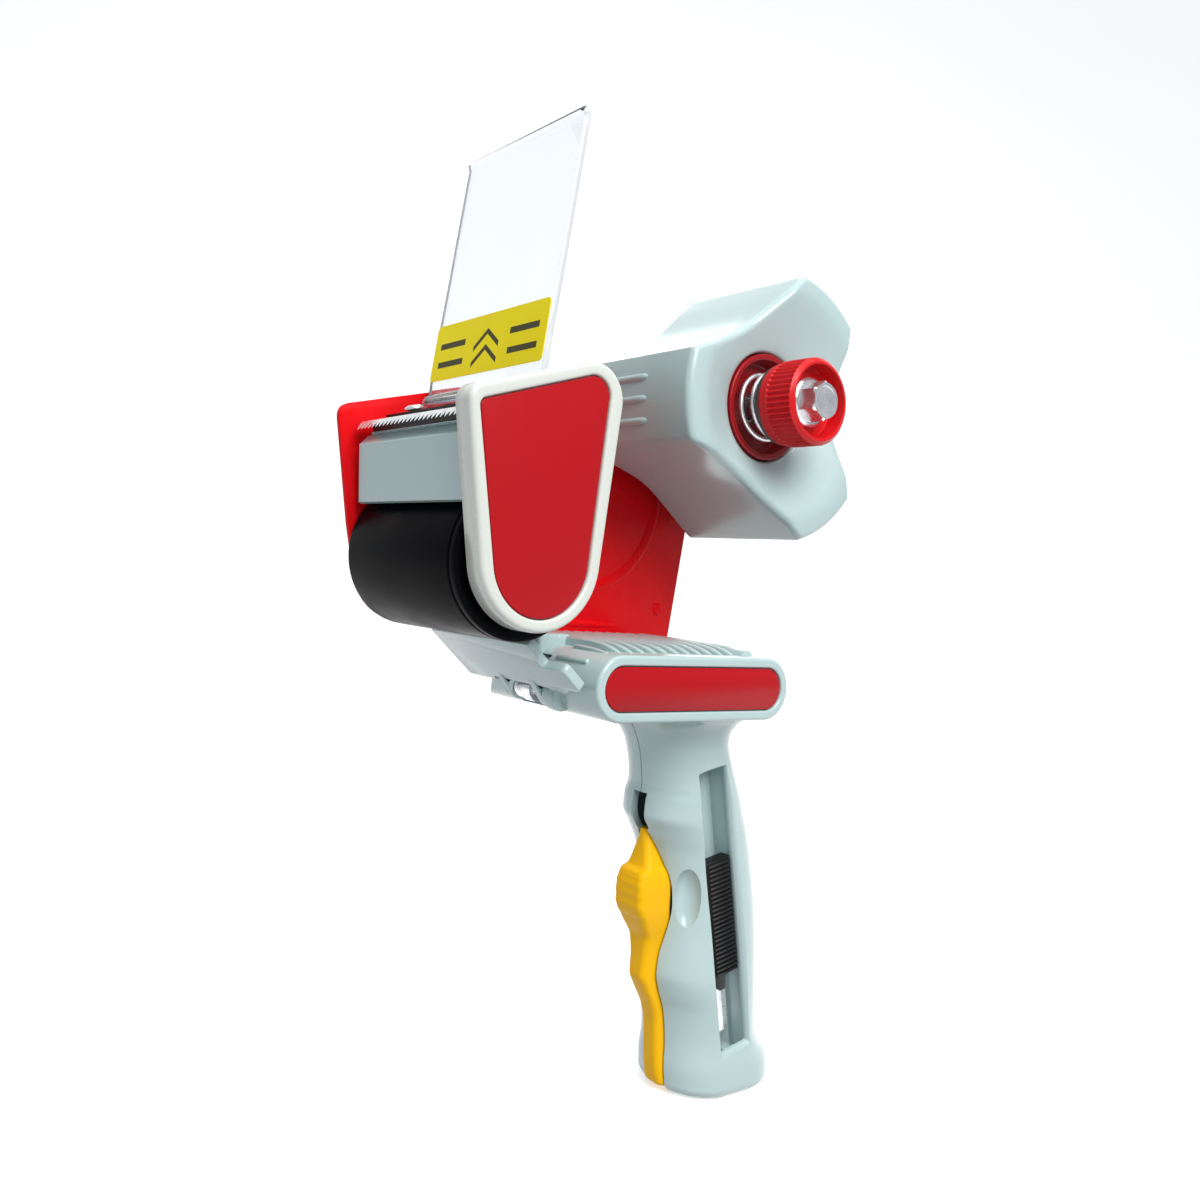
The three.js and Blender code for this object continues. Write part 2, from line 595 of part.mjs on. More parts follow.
const TRIGGER_SECTIONS = [
  [-124.5, -24, -20.4, 1.4], [-130, -24.6, -17, 3.1], [-135, -25.6, -16.4, 4.6],
  [-136.4, -27.6, -16.4, 5.2], [-141, -28.6, -17, 5.8], [-146, -28.4, -17, 5.8],
  [-151, -25.8, -15.6, 5.2], [-156, -23.4, -14, 4.2], [-161, -23.2, -13.6, 3.6],
  [-166, -23.4, -13.2, 3.4], [-170, -21.6, -11.6, 3.3], [-175, -18.6, -9, 3.3],
  [-180, -16.8, -7.6, 3.3], [-188, -16, -4, 3.3], [-193, -15.4, -3.2, 3.4],
  [-198.4, -14.2, -6.4, 3.6],
];

const sectionsOf = (rows, round, change = (s) => s) =>
  rows.map(([z, front, back, half]) => change({ z, front, back, half, round }));

const knifeFrame = { y: KNIFE.y, z: KNIFE.z, slope: KNIFE.tilt };
const HANDLE_SCREWS = [[-16.5, -102], [9.4, -140], [15.5, -188]];

function gripBlank() {
  const skin = loft(sectionsOf(GRIP_SECTIONS, 14));
  const saddle = alongX(deckOutline(DECK.radius + GAP), -30, 30);
  const above = box(-30, 30, -45, 12, DECK.z, -70);
  return skin.subtract(saddle).subtract(above);
}

function gripHollow() {
  const rows = GRIP_SECTIONS.filter(([z]) => z > -192);
  const inset = (s) => ({ ...s, front: s.front + WALL, back: s.back - WALL, half: s.half - WALL });
  return loft(sectionsOf(rows, 11.5, inset));
}

// The room the trigger sweeps: open to the front, wider and deeper than the trigger itself.
function triggerRoom() {
  const grow = (s) => {
    const sweep = Math.max(0, s.z - TRIGGER.z) * 0.1;
    return { ...s, front: -45, back: s.back + 0.8 + sweep, half: s.half + 0.5 };
  };
  const above = [[-112.6, -45, -14, 2.2], [-123, -45, -14, 2.2]];
  const rows = [...above, ...TRIGGER_SECTIONS, [-203, -13, -6, 3.7]];
  return loft(sectionsOf(rows, 3, grow));
}

// The room of the knife inside the near shell, with the slot that shows its slider.
function knifeRoom() {
  const { slotHalf, slotRun } = KNIFE;
  const channel = box(6.2, 12.2, -5.6, 5.6, -45, 43).subtract(box(7.6, 9, 1.5, 6, -46, 44));
  const outlet = box(6.2, 9, -5.2, 1.4, -70, -44).add(box(6.2, 7.5, -5.2, 5.2, -70, -44));
  const window = box(9, 18, -slotHalf, slotHalf, -slotRun, slotRun);
  return tiltedSolid(knifeFrame, (at) => at(channel.add(outlet).add(window)));
}

function handleShell(side) {
  const keep = side > 0 ? box(SPLIT, 40, -60, 60, -210, -60) : box(-40, -SPLIT, -60, 60, -210, -60);
  const reach = side > 0 ? 5.2 : 40;
  let shell = gripBlank().intersect(keep);
  let hollow = gripHollow().intersect(box(-40, reach, -60, 60, -210, -60));
  for (const [y, z] of HANDLE_SCREWS) hollow = hollow.subtract(barX(3.4, -40, 40, y, z, 16));
  shell = shell.subtract(hollow).subtract(triggerRoom());
  if (side > 0) shell = shell.subtract(knifeRoom());
  if (side < 0) shell = shell.add(box(-13.5, -0.4, -2, 0.4, -155, -145));
  for (const [y, z] of HANDLE_SCREWS) {
    shell = shell.subtract(screwHole(-13, 9.6, y, z)).subtract(barX(3.4, -30, -10.6, y, z, 18));
  }
  return shell.subtract(barX(2 + GAP, -10.6, 10.6, TRIGGER.y, TRIGGER.z, 16));
}

add("handle_near_shell", handleShell(1), greyPlastic());
add("handle_far_shell", handleShell(-1), greyPlastic());
HANDLE_SCREWS.forEach(([y, z], i) => {
  add(`handle_screw_${i + 1}`, screwX(-10.9, y, z, 1, 20), brightSteel());
});
DECK_SCREWS.forEach(([y, z], i) => {
  add(`deck_screw_${i + 1}`, screwX(PLATE.outer - GAP, y, z, 1, 14), brightSteel());
});
HEAD_SCREWS.forEach(([y, z], i) => {
  add(`head_screw_${i + 1}`, screwX(PLATE.outer - GAP, y, z, 1, 13), brightSteel());
});

// ---------------------------------------------------------------- trigger and brake link
function trigger() {
  const body = loft(sectionsOf(TRIGGER_SECTIONS, 3));
  return body.subtract(barX(2 + GAP, -12, 12, TRIGGER.y, TRIGGER.z, 16));
}

// One flat bar: it stands behind the trigger, runs forward in the deck and forks over the stub.
function brakeLink() {
  const stub = { y: FLAP.y + 3.75, z: FLAP.z + 6.5 };
  const outline = [
    [-5.6, -183], [-2.4, -183], [-6.4, -120], [-6.4, -79.6], [-58.5, -79.6],
    [-58.5, -75.6], [stub.y + 1.85, -75.6], [stub.y + 1.85, stub.z - 2.1], [stub.y - 1.85, stub.z - 2.1],
    [stub.y - 1.85, -75.6], [-65.4, -75.6], [-65.4, -83], [-10.4, -83], [-10.4, -112],
  ];
  return alongX(outline.toReversed(), 1.8, 4.6);
}

add("trigger", trigger(), yellowPlastic());
add("trigger_pin", barX(2, -10.3, 10.3, TRIGGER.y, TRIGGER.z, 16), brightSteel());
const triggerCoil = coilGeometry(2.7, 0.8, 11.4, 6).rotateZ(Math.PI / 2).translate(-3.1, -8.6, -150);
add("trigger_spring", triggerCoil, brightSteel());
add("brake_link", brakeLink(), brightSteel());

// ---------------------------------------------------------------- knife
// Drawn along the grip's tilt: z runs up the slot, x out through the near side.
const knifeGroup = tilted(KNIFE.y, KNIFE.z, KNIFE.tilt);
const sliderOutline = [
  [-4.9, -20.4], [-4.9, 14.6], [4.9, 14.6], [4.9, -19], [-0.6, -19.6], [-1.2, -23.4], [-3, -23.4],
];
const bladeOutline = [[-4.5, -52], [4.5, -46.8], [4.5, -6], [-4.5, -6]];
add("knife_slider", alongX(sliderOutline.toReversed(), 9.3, 13.4), blackPlastic(), knifeGroup);
add("knife_carrier", box(7.6, 8.9, -5.2, 1, -38, 12), brightSteel(), knifeGroup);
add("knife_blade", alongX(bladeOutline, 6.6, 7.1), brightSteel(), knifeGroup);

// ---------------------------------------------------------------- export
drawn.position.set(0, -GRIP.y, -GRIP.z);
const dispenser = new THREE.Group();
dispenser.add(drawn);
export default dispenser;
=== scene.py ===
"""The looks of the packing-tape dispenser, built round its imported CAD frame.

Shapes are drawn in millimetres with the hub's axis at y = z = 0, as the CAD source draws them, and
moved into the row frame in metres when a piece is made.
"""

import json
import math

import bmesh
import bpy
from mathutils import Matrix, Vector


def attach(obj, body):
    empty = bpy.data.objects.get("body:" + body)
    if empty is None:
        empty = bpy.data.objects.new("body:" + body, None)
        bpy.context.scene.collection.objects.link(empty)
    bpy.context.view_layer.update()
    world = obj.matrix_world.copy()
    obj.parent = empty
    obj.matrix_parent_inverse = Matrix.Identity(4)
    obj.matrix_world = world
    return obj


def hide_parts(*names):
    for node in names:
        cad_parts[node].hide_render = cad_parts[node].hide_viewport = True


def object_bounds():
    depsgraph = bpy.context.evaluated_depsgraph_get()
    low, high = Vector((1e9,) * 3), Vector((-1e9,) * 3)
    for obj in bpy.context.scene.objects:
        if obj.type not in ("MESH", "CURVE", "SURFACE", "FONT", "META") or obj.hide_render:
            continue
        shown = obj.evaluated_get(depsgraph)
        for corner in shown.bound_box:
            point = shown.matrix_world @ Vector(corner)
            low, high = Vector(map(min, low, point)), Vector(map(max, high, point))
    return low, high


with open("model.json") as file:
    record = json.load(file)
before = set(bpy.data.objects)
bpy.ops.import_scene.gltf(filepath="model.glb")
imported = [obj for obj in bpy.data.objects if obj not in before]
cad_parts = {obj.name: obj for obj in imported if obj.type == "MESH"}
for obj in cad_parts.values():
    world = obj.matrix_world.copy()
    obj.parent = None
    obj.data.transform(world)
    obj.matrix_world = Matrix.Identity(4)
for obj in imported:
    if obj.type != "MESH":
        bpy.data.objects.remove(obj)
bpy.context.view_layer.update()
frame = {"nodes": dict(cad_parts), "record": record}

MM = 0.001
HUB_AXIS = Vector((0, 2, 146))  # the hub's axis in the row frame, in mm
NODES = frame["nodes"]

GAP = 0.3  # the clearance between neighbouring pieces
SPLIT = 0.15  # half the gap between the grip's two shells
HUB = dict(radius=39.6, half=22.6, lobe=63.5, lobe_half=18.5, dip=3.8, bore=6.4)
ROLLER = dict(y=-93, z=-51, radius=19.2, far=-27.3, near=25)
DECK = dict(y=-33.25, z=-81, run=26.85, radius=8.6, far=-27.7, near=27, wall=2, ribs=11)
FLAP = dict(y=-66.5, z=-84.5)
SHIELD = dict(y=-90.5, z=-9.5, half=25.4)
BLADE = dict(y=-108.5, z=-20, slope=13.8, half=25, teeth=26)
KNIFE = dict(y=-3, z=-146.2, tilt=11.4)
PLATE = dict(outer=-29.6, inner=-28)
SHAFT = 3  # the roller axle's and the hub bolt's radius
HEX = 5.7  # the M6 nuts' radius over their corners
GRIP_SCREWS = ((-16.5, -102), (9.4, -140), (15.5, -188))
DECK_SCREWS = (-50, -13)
COVER_SCREWS = ((-104, -26), (-84, -21))
HEAD_SCREWS = ((-106, -28), (-81, -20))
CREASE = 35  # edges steeper than this many degrees are rounded
RELIEF = 0.00005  # the height of the materials' bumps, in metres


# ---------------------------------------------------------------- outlines
def polar(radius, degrees):
    a = math.radians(degrees)
    return radius * math.cos(a), radius * math.sin(a)


def arc(radius, steps, start=0, span=90):
    """Points of an arc at equal steps, as (cosine, sine) times its radius."""
    return [polar(radius, start + span * i / steps) for i in range(steps + 1)]


def circle(radius, steps):
    return [polar(radius, 360 * i / steps) for i in range(steps)]


def wrap(circles, by=0.0, steps=180, like=None):
    """The outline round circles (y, z, radius), drawn in by `by`; `like` sets where it turns."""
    guide = like or circles
    points = []
    for i in range(steps):
        c, s = polar(1, 360 * (i + 0.5) / steps)
        reach = [y * c + z * s + r for y, z, r in guide]
        y, z, r = circles[reach.index(max(reach))]
        points.append((y + (r - by) * c, z + (r - by) * s))
    return points


def bend(start, here, end, steps):
    """Points of a smooth bend from start to end that leans to the corner `here`."""
    shares = [k / steps for k in range(steps + 1)]
    return [tuple(start * (1 - t) ** 2 + here * 2 * t * (1 - t) + end * t * t) for t in shares]


def rounded(corners, steps=8):
    """A polygon whose corners (a, b, radius) are rounded."""
    points = []
    for i, corner in enumerate(corners):
        here = Vector(corner[:2])
        radius = corner[2] if len(corner) > 2 else 0
        if not radius:
            points.append(tuple(here))
            continue
        before = (Vector(corners[i - 1][:2]) - here).normalized()
        after = (Vector(corners[(i + 1) % len(corners)][:2]) - here).normalized()
        half = before.angle(after) / 2
        reach = radius / math.tan(half)
        points += bend(here + before * reach, here, here + after * reach, steps)
    return points


def curve_through(xs, ys, x):
    """A smooth curve through (xs, ys) that doesn't overshoot, read at x."""
    n = len(xs)
    k = next((i for i in range(n - 1) if x <= xs[i + 1]), n - 2)
    slopes = [(ys[i + 1] - ys[i]) / (xs[i + 1] - xs[i]) for i in range(n - 1)]

    def tangent(i):
        if i in (0, n - 1):
            return slopes[min(i, n - 2)]
        a, b = slopes[i - 1], slopes[i]
        return 0.0 if a * b <= 0 else 2 * a * b / (a + b)

    h = xs[k + 1] - xs[k]
    t = (x - xs[k]) / h
    a, b = tangent(k) * h, tangent(k + 1) * h
    return (
        ys[k] * (2 * t**3 - 3 * t**2 + 1)
        + a * (t**3 - 2 * t**2 + t)
        + ys[k + 1] * (3 * t**2 - 2 * t**3)
        + b * (t**3 - t**2)
    )


# ---------------------------------------------------------------- meshes
def mesh_object(name, verts, faces):
    """A closed mesh from points in mm about the hub's axis."""
    data = bpy.data.meshes.new(name)
    data.from_pydata([(Vector(v) + HUB_AXIS) * MM for v in verts], [], faces)
    bm = bmesh.new()
    bm.from_mesh(data)
    bmesh.ops.remove_doubles(bm, verts=bm.verts, dist=1e-7)
    bmesh.ops.recalc_face_normals(bm, faces=bm.faces)
    bm.to_mesh(data)
    bm.free()
    data.shade_smooth()
    obj = bpy.data.objects.new(name, data)
    bpy.context.scene.collection.objects.link(obj)
    return obj


def skinned(name, rings, loop=False):
    """A mesh whose skin runs through rings of equal length, closed at its ends or on itself."""
    n = len(rings[0])
    verts = [p for ring in rings for p in ring]
    count = len(rings)
    faces = []
    for s in range(count if loop else count - 1):
        a, b = s * n, ((s + 1) % count) * n
        faces += [(a + i, a + (i + 1) % n, b + (i + 1) % n, b + i) for i in range(n)]
    if not loop:
        faces.append(tuple(range(n - 1, -1, -1)))
        faces.append(tuple(range((count - 1) * n, count * n)))
    return mesh_object(name, verts, faces)


def along_x(name, outline, x0, x1, edge=0.0):
    """An outline of (y, z) points drawn out along X, with its end edges rounded by `edge`."""
    cy = sum(p[0] for p in outline) / len(outline)
    cz = sum(p[1] for p in outline) / len(outline)
    size = max(math.hypot(y - cy, z - cz) for y, z in outline)

    def ring(x, by):
        k = 1 - by / size
        return [(x, cy + (y - cy) * k, cz + (z - cz) * k) for y, z in outline]

    corner = arc(edge, 3) if edge else [(0, 0)]
    rings = [ring(x0 + edge - s, edge - c) for c, s in corner[::-1]]
    rings += [ring(x1 - edge + s, edge - c) for c, s in corner]
    return skinned(name, rings)


def fillet(profile, radius):
    """A closed profile with every corner rounded by up to `radius`, in four steps each."""
    out = []
    n = len(profile)
    for i, p in enumerate(profile):
        here = Vector(p[:2])
        r = p[2] if len(p) > 2 else radius
        prev, nxt = Vector(profile[i - 1][:2]), Vector(profile[(i + 1) % n][:2])
        reach = min(r, (prev - here).length * 0.45, (nxt - here).length * 0.45)
        if reach < 1e-4:
            out.append(tuple(here))
            continue
        start = here + (prev - here).normalized() * reach
        out += bend(start, here, here + (nxt - here).normalized() * reach, 4)
    return out


def spun(profile, y, z, steps, shape=None):
    """A ring about the X axis through (y, z) for each (x, radius) of a profile.

    `shape` gives the radius from x, the profile's radius and the angle.
    """
    rings = []
    for x, r in profile:
        angles = [360 * i / steps for i in range(steps)]
        ring = [polar(shape(x, r, a) if shape else r, a) for a in angles]
        rings.append([(x, y + c, z + s) for c, s in ring])
    return rings


def turned(name, profile, y, z, radius, steps, shape=None):
    """A closed profile of (x, radius), its corners rounded by `radius`, turned about X."""
    return skinned(name, spun(fillet(profile, radius), y, z, steps, shape), loop=True)


def solid_turned(name, profile, y, z, radius, steps=64):
    """An open profile from axis to axis, turned about X: its end points have radius 0."""
    inner = [(x, max(r, 0.01)) for x, r in profile]
    smooth = [inner[0], *fillet(inner, radius)[5:-5], inner[-1]]
    return skinned(name, spun(smooth, y, z, steps))


def block(name, x0, x1, y0, y1, z0, z1, move=None):
    verts = [(x, y, z) for x in (x0, x1) for y in (y0, y1) for z in (z0, z1)]
    if move:
        verts = [move(v) for v in verts]
    faces = [(0, 1, 3, 2), (4, 6, 7, 5), (0, 4, 5, 1), (2, 3, 7, 6), (0, 2, 6, 4), (1, 5, 7, 3)]
    return mesh_object(name, verts, faces)


def bar(name, radius, x0, x1, y, z, steps=32):
    return skinned(name, spun([(x0, radius), (x1, radius)], y, z, steps))


def ellipsoid(name, centre, radii):
    steps = 48
    rings = []
    for j in range(1, steps):
        c, s = polar(1, 180 * j / steps - 90)
        rings.append([
            (centre[0] + a * radii[0], centre[1] + b * radii[1], centre[2] + s * radii[2])
            for a, b in circle(c, steps)
        ])
    return skinned(name, rings)


def tilt_frame(y, z, degrees):
    """Places a point drawn in a frame tilted about X at (y, z)."""
    turn = Matrix.Rotation(math.radians(degrees), 3, "X")
    return lambda p: tuple(turn @ Vector(p) + Vector((0, y, z)))


def boolean(obj, others, operation="DIFFERENCE"):
    """Cuts or joins other solids into obj, and removes them."""
    for other in others:
        mod = obj.modifiers.new("cut", "BOOLEAN")
        mod.operation = operation
        mod.solver = "EXACT"
        mod.object = other
        bpy.context.view_layer.update()
        dg = bpy.context.evaluated_depsgraph_get()
        data = bpy.data.meshes.new_from_object(obj.evaluated_get(dg))
        obj.modifiers.clear()
        old = obj.data
        obj.data = data
        bpy.data.meshes.remove(old)
        bpy.data.objects.remove(other)
    obj.data.name = obj.name
    return obj


def joined(obj, others):
    """Adds other solids to obj's mesh as they are."""
    bm = bmesh.new()
    bm.from_mesh(obj.data)
    for other in others:
        bm.from_mesh(other.data)
        bpy.data.objects.remove(other)
    bm.to_mesh(obj.data)
    bm.free()
    obj.data.shade_smooth()
    return obj


def soften(obj, width):
    """Rounds an object's edges, and keeps its flat faces flat in the shading."""
    bevel = obj.modifiers.new("edges", "BEVEL")
    bevel.width = width * MM
    bevel.segments = 2
    bevel.limit_method = "ANGLE"
    bevel.angle_limit = math.radians(CREASE)
    bevel.use_clamp_overlap = True
    normals = obj.modifiers.new("normals", "WEIGHTED_NORMAL")
    normals.keep_sharp = True


def sharp(obj, angle):
    """Shades an object smooth, apart from edges steeper than `angle` degrees."""
    obj.data.shade_smooth()
    obj.data.set_sharp_from_angle(angle=math.radians(angle))
    return obj


# ---------------------------------------------------------------- materials
class Look:
    """One node material: a base colour that varies a little, with grain, wear and bump."""

    def __init__(self, name, metal=0.0):
        self.material = bpy.data.materials.new(name)
        self.material.use_nodes = True
        self.tree = self.material.node_tree
        self.shader = self.tree.nodes["Principled BSDF"]
        self.shader.inputs["Metallic"].default_value = metal
        self.coords = self.add("ShaderNodeTexCoord").outputs["Object"]

    def feed(self, socket, value):
        """Links a node's output to a socket, or sets a number or colour on it."""
        if isinstance(value, bpy.types.NodeSocket):
            self.tree.links.new(value, socket)
        else:
            socket.default_value = (*value, 1.0) if socket.type == "RGBA" else value

    def add(self, kind, **inputs):
        node = self.tree.nodes.new(kind)
        for key, value in inputs.items():
            self.feed(node.inputs[key.replace("_", " ")], value)
        return node

    def link(self, output, key):
        self.tree.links.new(output, self.shader.inputs[key])

    def set(self, **values):
        """Sets constants on the shader's own sockets."""
        for key, value in values.items():
            self.shader.inputs[key.replace("_", " ")].default_value = value

    def noise(self, scale, detail, stretch=None):
        coords = self.coords
        if stretch:
            coords = self.add("ShaderNodeMapping", Vector=coords, Scale=stretch).outputs["Vector"]
        node = self.add("ShaderNodeTexNoise", Vector=coords, Scale=scale, Detail=detail)
        return node.outputs["Fac"]

    def span(self, factor, low, high, start=0.3, stop=0.7):
        """Maps a factor's range from start to stop onto low to high."""
        ends = dict(From_Min=start, From_Max=stop, To_Min=low, To_Max=high)
        node = self.add("ShaderNodeMapRange", Value=factor, **ends)
        return node.outputs["Result"]

    def mix(self, factor, a, b):
        node = self.tree.nodes.new("ShaderNodeMix")
        node.data_type = "RGBA"
        for socket, value in ((node.inputs[0], factor), (node.inputs[6], a), (node.inputs[7], b)):
            self.feed(socket, value)
        return node.outputs[2]

    def calc(self, kind, a, b=0.0):
        node = self.tree.nodes.new("ShaderNodeMath")
        node.operation = kind
        self.feed(node.inputs[0], a)
        self.feed(node.inputs[1], b)
        return node.outputs[0]

    def worn(self, light):
        """`light` on the edges that hands and cartons rub, broken up by noise."""
        point = self.add("ShaderNodeNewGeometry").outputs["Pointiness"]
        edge = self.span(point, 0.0, light, 0.52, 0.6)
        return self.calc("MULTIPLY", edge, self.span(self.noise(420, 4), 0.0, 1.0, 0.45, 0.65))

    def bump(self, heights):
        """Stacks bump maps of (height, strength)."""
        normal = None
        for height, strength in heights:
            node = self.add("ShaderNodeBump", Height=height, Strength=strength, Distance=RELIEF)
            if normal:
                self.tree.links.new(normal, node.inputs["Normal"])
            normal = node.outputs["Normal"]
        self.link(normal, "Normal")


def tinted(color, k):
    return tuple(min(1.0, c * k) for c in color)


def plastic(name, color, rough, coat=0.0, grain=0.08, shine=0.5, subsurface=0.0):
    """Moulded plastic: faint flow shading, tiny specks and a fine satin grain."""
    look = Look(name)
    flow = look.span(look.noise(14, 1), 0.0, 1.0, 0.2, 0.8)
    base = look.mix(flow, tinted(color, 0.985), tinted(color, 1.015))
    specks = look.span(look.noise(1300, 2), 0.0, 0.1, 0.66, 0.8)
    base = look.mix(specks, base, tinted(color, 0.75))
    look.link(base, "Base Color")
    look.link(look.span(look.noise(420, 3), rough * 0.92, rough * 1.1, 0.2, 0.8), "Roughness")
    look.bump([(look.noise(2600, 2), grain), (look.noise(9, 0), 0.1)])
    look.set(Coat_Weight=coat, Coat_Roughness=0.12, IOR=1.5, Specular_IOR_Level=shine)
    if subsurface:
        look.set(Subsurface_Weight=subsurface, Subsurface_Radius=(0.0025, 0.002, 0.0016))
        look.set(Subsurface_Scale=1.0)
    return look.material


def paint(name, color):
    """Gloss enamel over sheet steel: slight orange peel, and a duller red on rubbed edges."""
    look = Look(name)
    base = look.mix(look.span(look.noise(25, 2), 0, 1), tinted(color, 0.96), tinted(color, 1.03))
    base = look.mix(look.worn(0.2), base, (0.42, 0.1, 0.09))
    look.link(base, "Base Color")
    look.link(look.span(look.noise(90, 3), 0.22, 0.32), "Roughness")
    look.bump([(look.noise(340, 2), 0.1), (look.noise(3000, 1), 0.02)])
    look.set(Specular_IOR_Level=0.07)
    return look.material


def steel(name, color, rough, lines=(8, 1, 1)):
    """Zinc-plated or ground steel: cloudy plating, fine machining lines, and dull spots."""
    look = Look(name, metal=0.82)
    cloud = look.span(look.noise(260, 4), 0.0, 1.0)
    base = look.mix(cloud, tinted(color, 0.86), tinted(color, 1.12))
    dull = look.span(look.noise(800, 3), 0.0, 0.4, 0.58, 0.75)
    base = look.mix(dull, base, tinted(color, 0.6))
    look.link(base, "Base Color")
    look.link(look.span(look.noise(500, 4), rough * 0.7, rough * 1.5), "Roughness")
    look.bump([(look.noise(500, 3, lines), 0.1), (look.noise(1800, 2), 0.04)])
    look.set(Anisotropic=0.3)
    return look.material


def rubber(name, color, rough):
    """Smooth black rubber: soft gloss, a trace of dust, and fine grinding marks round it."""
    look = Look(name)
    dust = look.span(look.noise(1500, 3), 0.0, 0.16, 0.6, 0.78)
    base = look.mix(look.span(look.noise(50, 3), 0, 1), color, tinted(color, 1.5))
    base = look.mix(dust, base, (0.02, 0.02, 0.022))
    look.set(Specular_IOR_Level=0.025)
    look.link(base, "Base Color")
    look.link(look.span(look.noise(70, 3), rough * 0.8, rough * 1.5), "Roughness")
    look.bump([(look.noise(300, 2, (30, 1, 1)), 0.08), (look.noise(2200, 2), 0.06)])
    return look.material


def clear_plastic(name):
    """Clear acrylic sheet: faint scuffs, a cool tint, and pale side edges."""
    look = Look(name)
    scuff = look.span(look.noise(60, 4, (1, 4, 1)), 0.0, 0.04, 0.6, 0.8)
    look.link(scuff, "Roughness")
    tint = look.mix(look.span(look.noise(20, 2), 0, 1), (0.845, 0.885, 0.925), (0.865, 0.90, 0.935))
    look.link(tint, "Base Color")
    look.bump([(look.noise(30, 1), 0.02)])
    look.set(IOR=1.45)
    normal = look.add("ShaderNodeNewGeometry").outputs["Normal"]
    side = look.add("ShaderNodeSeparateXYZ", Vector=normal).outputs["X"]
    look.link(look.span(look.calc("ABSOLUTE", side), 1.0, 0.25, 0.6, 0.8), "Transmission Weight")
    return look.material


GREY = (0.46, 0.60, 0.605)
LOOKS = {
    "grey": plastic("grey_moulded", GREY, 0.24, coat=0.2, subsurface=0.04),
    "pale": plastic("pale_moulded", (0.68, 0.72, 0.665), 0.26, coat=0.2, subsurface=0.04),
    "inlay": plastic("red_inlay", (0.43, 0.006, 0.011), 0.36, grain=0.1, shine=0.16),
    "red": plastic("red_moulded", (0.66, 0.007, 0.012), 0.3, shine=0.25),
    "deep": plastic("deep_red_moulded", (0.32, 0.004, 0.008), 0.3, shine=0.3),
    "yellow": plastic("yellow_moulded", (1.0, 0.52, 0.001), 0.42, shine=0.2, subsurface=0.05),
    "black": plastic("black_moulded", (0.008, 0.008, 0.009), 0.4, grain=0.3, shine=0.25),
    "paint": paint("red_enamel", (0.79, 0.004, 0.008)),
    "steel": steel("zinc_steel", (0.74, 0.76, 0.79), 0.2),
    # Washer steel painted near-black with a reddish cast: painted shade that stands in for the
    # shadow inside the red cup, not an oiled finish.
    "painted_shade_steel": steel("steel_painted_shade_dark", (0.1, 0.085, 0.085), 0.4),
    "wire": steel("spring_wire", (0.82, 0.82, 0.84), 0.38, lines=(1, 6, 6)),
    "blade": steel("ground_blade", (0.86, 0.88, 0.9), 0.3, lines=(1, 9, 9)),
    "rubber": rubber("black_rubber", (0.0015, 0.0016, 0.0024), 0.3),
    "clear": clear_plastic("clear_acrylic"),
}
BODY_OF = {n: b for b, names in frame["record"]["behaviour"]["bodies"].items() for n in names}


def place(obj, look, *nodes):
    """Gives a finished piece its material, and lets it stand for its CAD nodes on their body."""
    obj.data.materials.clear()
    obj.data.materials.append(LOOKS[look])
    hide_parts(*nodes)
    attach(obj, BODY_OF[nodes[0]])
    return obj


# ---------------------------------------------------------------- side plate
plate_outline = rounded([
    (-118, -12.6, 4), (-112.2, -44, 10), (-106, -69.5, 17), (-80, -69.5, 5), (-56, -88.6, 8),
    (-2, -88.6, 6), (8.6, -77, 4), (23.5, 25.3, 16),
])


def bead(name, points, half, height, base, closed):
    """A low rounded bead pressed along points (y, z) on the plate's near face."""
    rings = []
    count = len(points)
    for i, (y, z) in enumerate(points):
        before = points[i - 1] if closed or i else points[0]
        after = points[(i + 1) % count] if closed or i + 1 < count else points[-1]
        way = (Vector(after) - Vector(before)).normalized()
        side = Vector((-way.y, way.x))
        taper = 1.0 if closed else min(1.0, 0.15 + min(i, count - 1 - i) / 4)
        ring = []
        for c, s in arc(1, 12, span=180):
            p = Vector((y, z)) + side * (half * c * (0.4 + 0.6 * taper))
            ring.append((base + height * s * taper, p.x, p.y))
        ring.append((base - 0.4, y, z))
        rings.append(ring)
    return skinned(name, rings, loop=closed)


plate = along_x("plate_sheet", plate_outline, PLATE["outer"], PLATE["inner"], 0.3)
ring = [tuple(Vector((-30, -27)) + Vector(p)) for p in circle(30, 90)]
foot_bead = [(-74 + 60 * i / 24, -68.2) for i in range(25)]
plate = joined(plate, [
    bead("ring_bead", ring, 1.7, 0.55, PLATE["inner"], True),
    bead("foot_bead", foot_bead, 1.0, 0.5, PLATE["inner"], False),
    solid_turned("dimple", [(-28.2, 0), (-28.2, 2.4), (-27.5, 1.8), (-27.2, 0)], 4.2, -62.5, 0.4),
])
place(sharp(plate, 50), "paint", "side_plate")


# ---------------------------------------------------------------- deck
def stadium(radius):
    """The deck's round-ended section, drawn with this end radius."""
    return wrap([(DECK["y"] + k * DECK["run"], DECK["z"], radius) for k in (-1, 1)], steps=128)


def deck_ring(x, radius):
    return [(x, y, z) for y, z in stadium(radius)]


def deck_rib(x0, y, width, height=2.4):
    """A rounded rib along X that slopes down to its near end."""
    top = DECK["z"] + DECK["radius"]
    path = [(x0, 0.85), (x0 + 0.8, 1.0), (11, 1.0), (15, 0.86), (18, 0.62), (20, 0.34)]
    path.append((21.2, -0.2))
    rings = []
    for x, k in path:
        narrow = 1.0 if k > 0.7 else 0.72 + 0.28 * max(k, 0) / 0.7
        ring = [(x, y - width / 2 * narrow, top - 0.6)]
        lift = max(height * k - width * 0.3, -0.3)
        for c, s in arc(1, 8, 180, -180):
            ring.append((x, y + width / 2 * narrow * c, top + lift + width * 0.3 * s))
        ring.append((x, y + width / 2 * narrow, top - 0.6))
        rings.append(ring)
    return skinned("rib", rings)


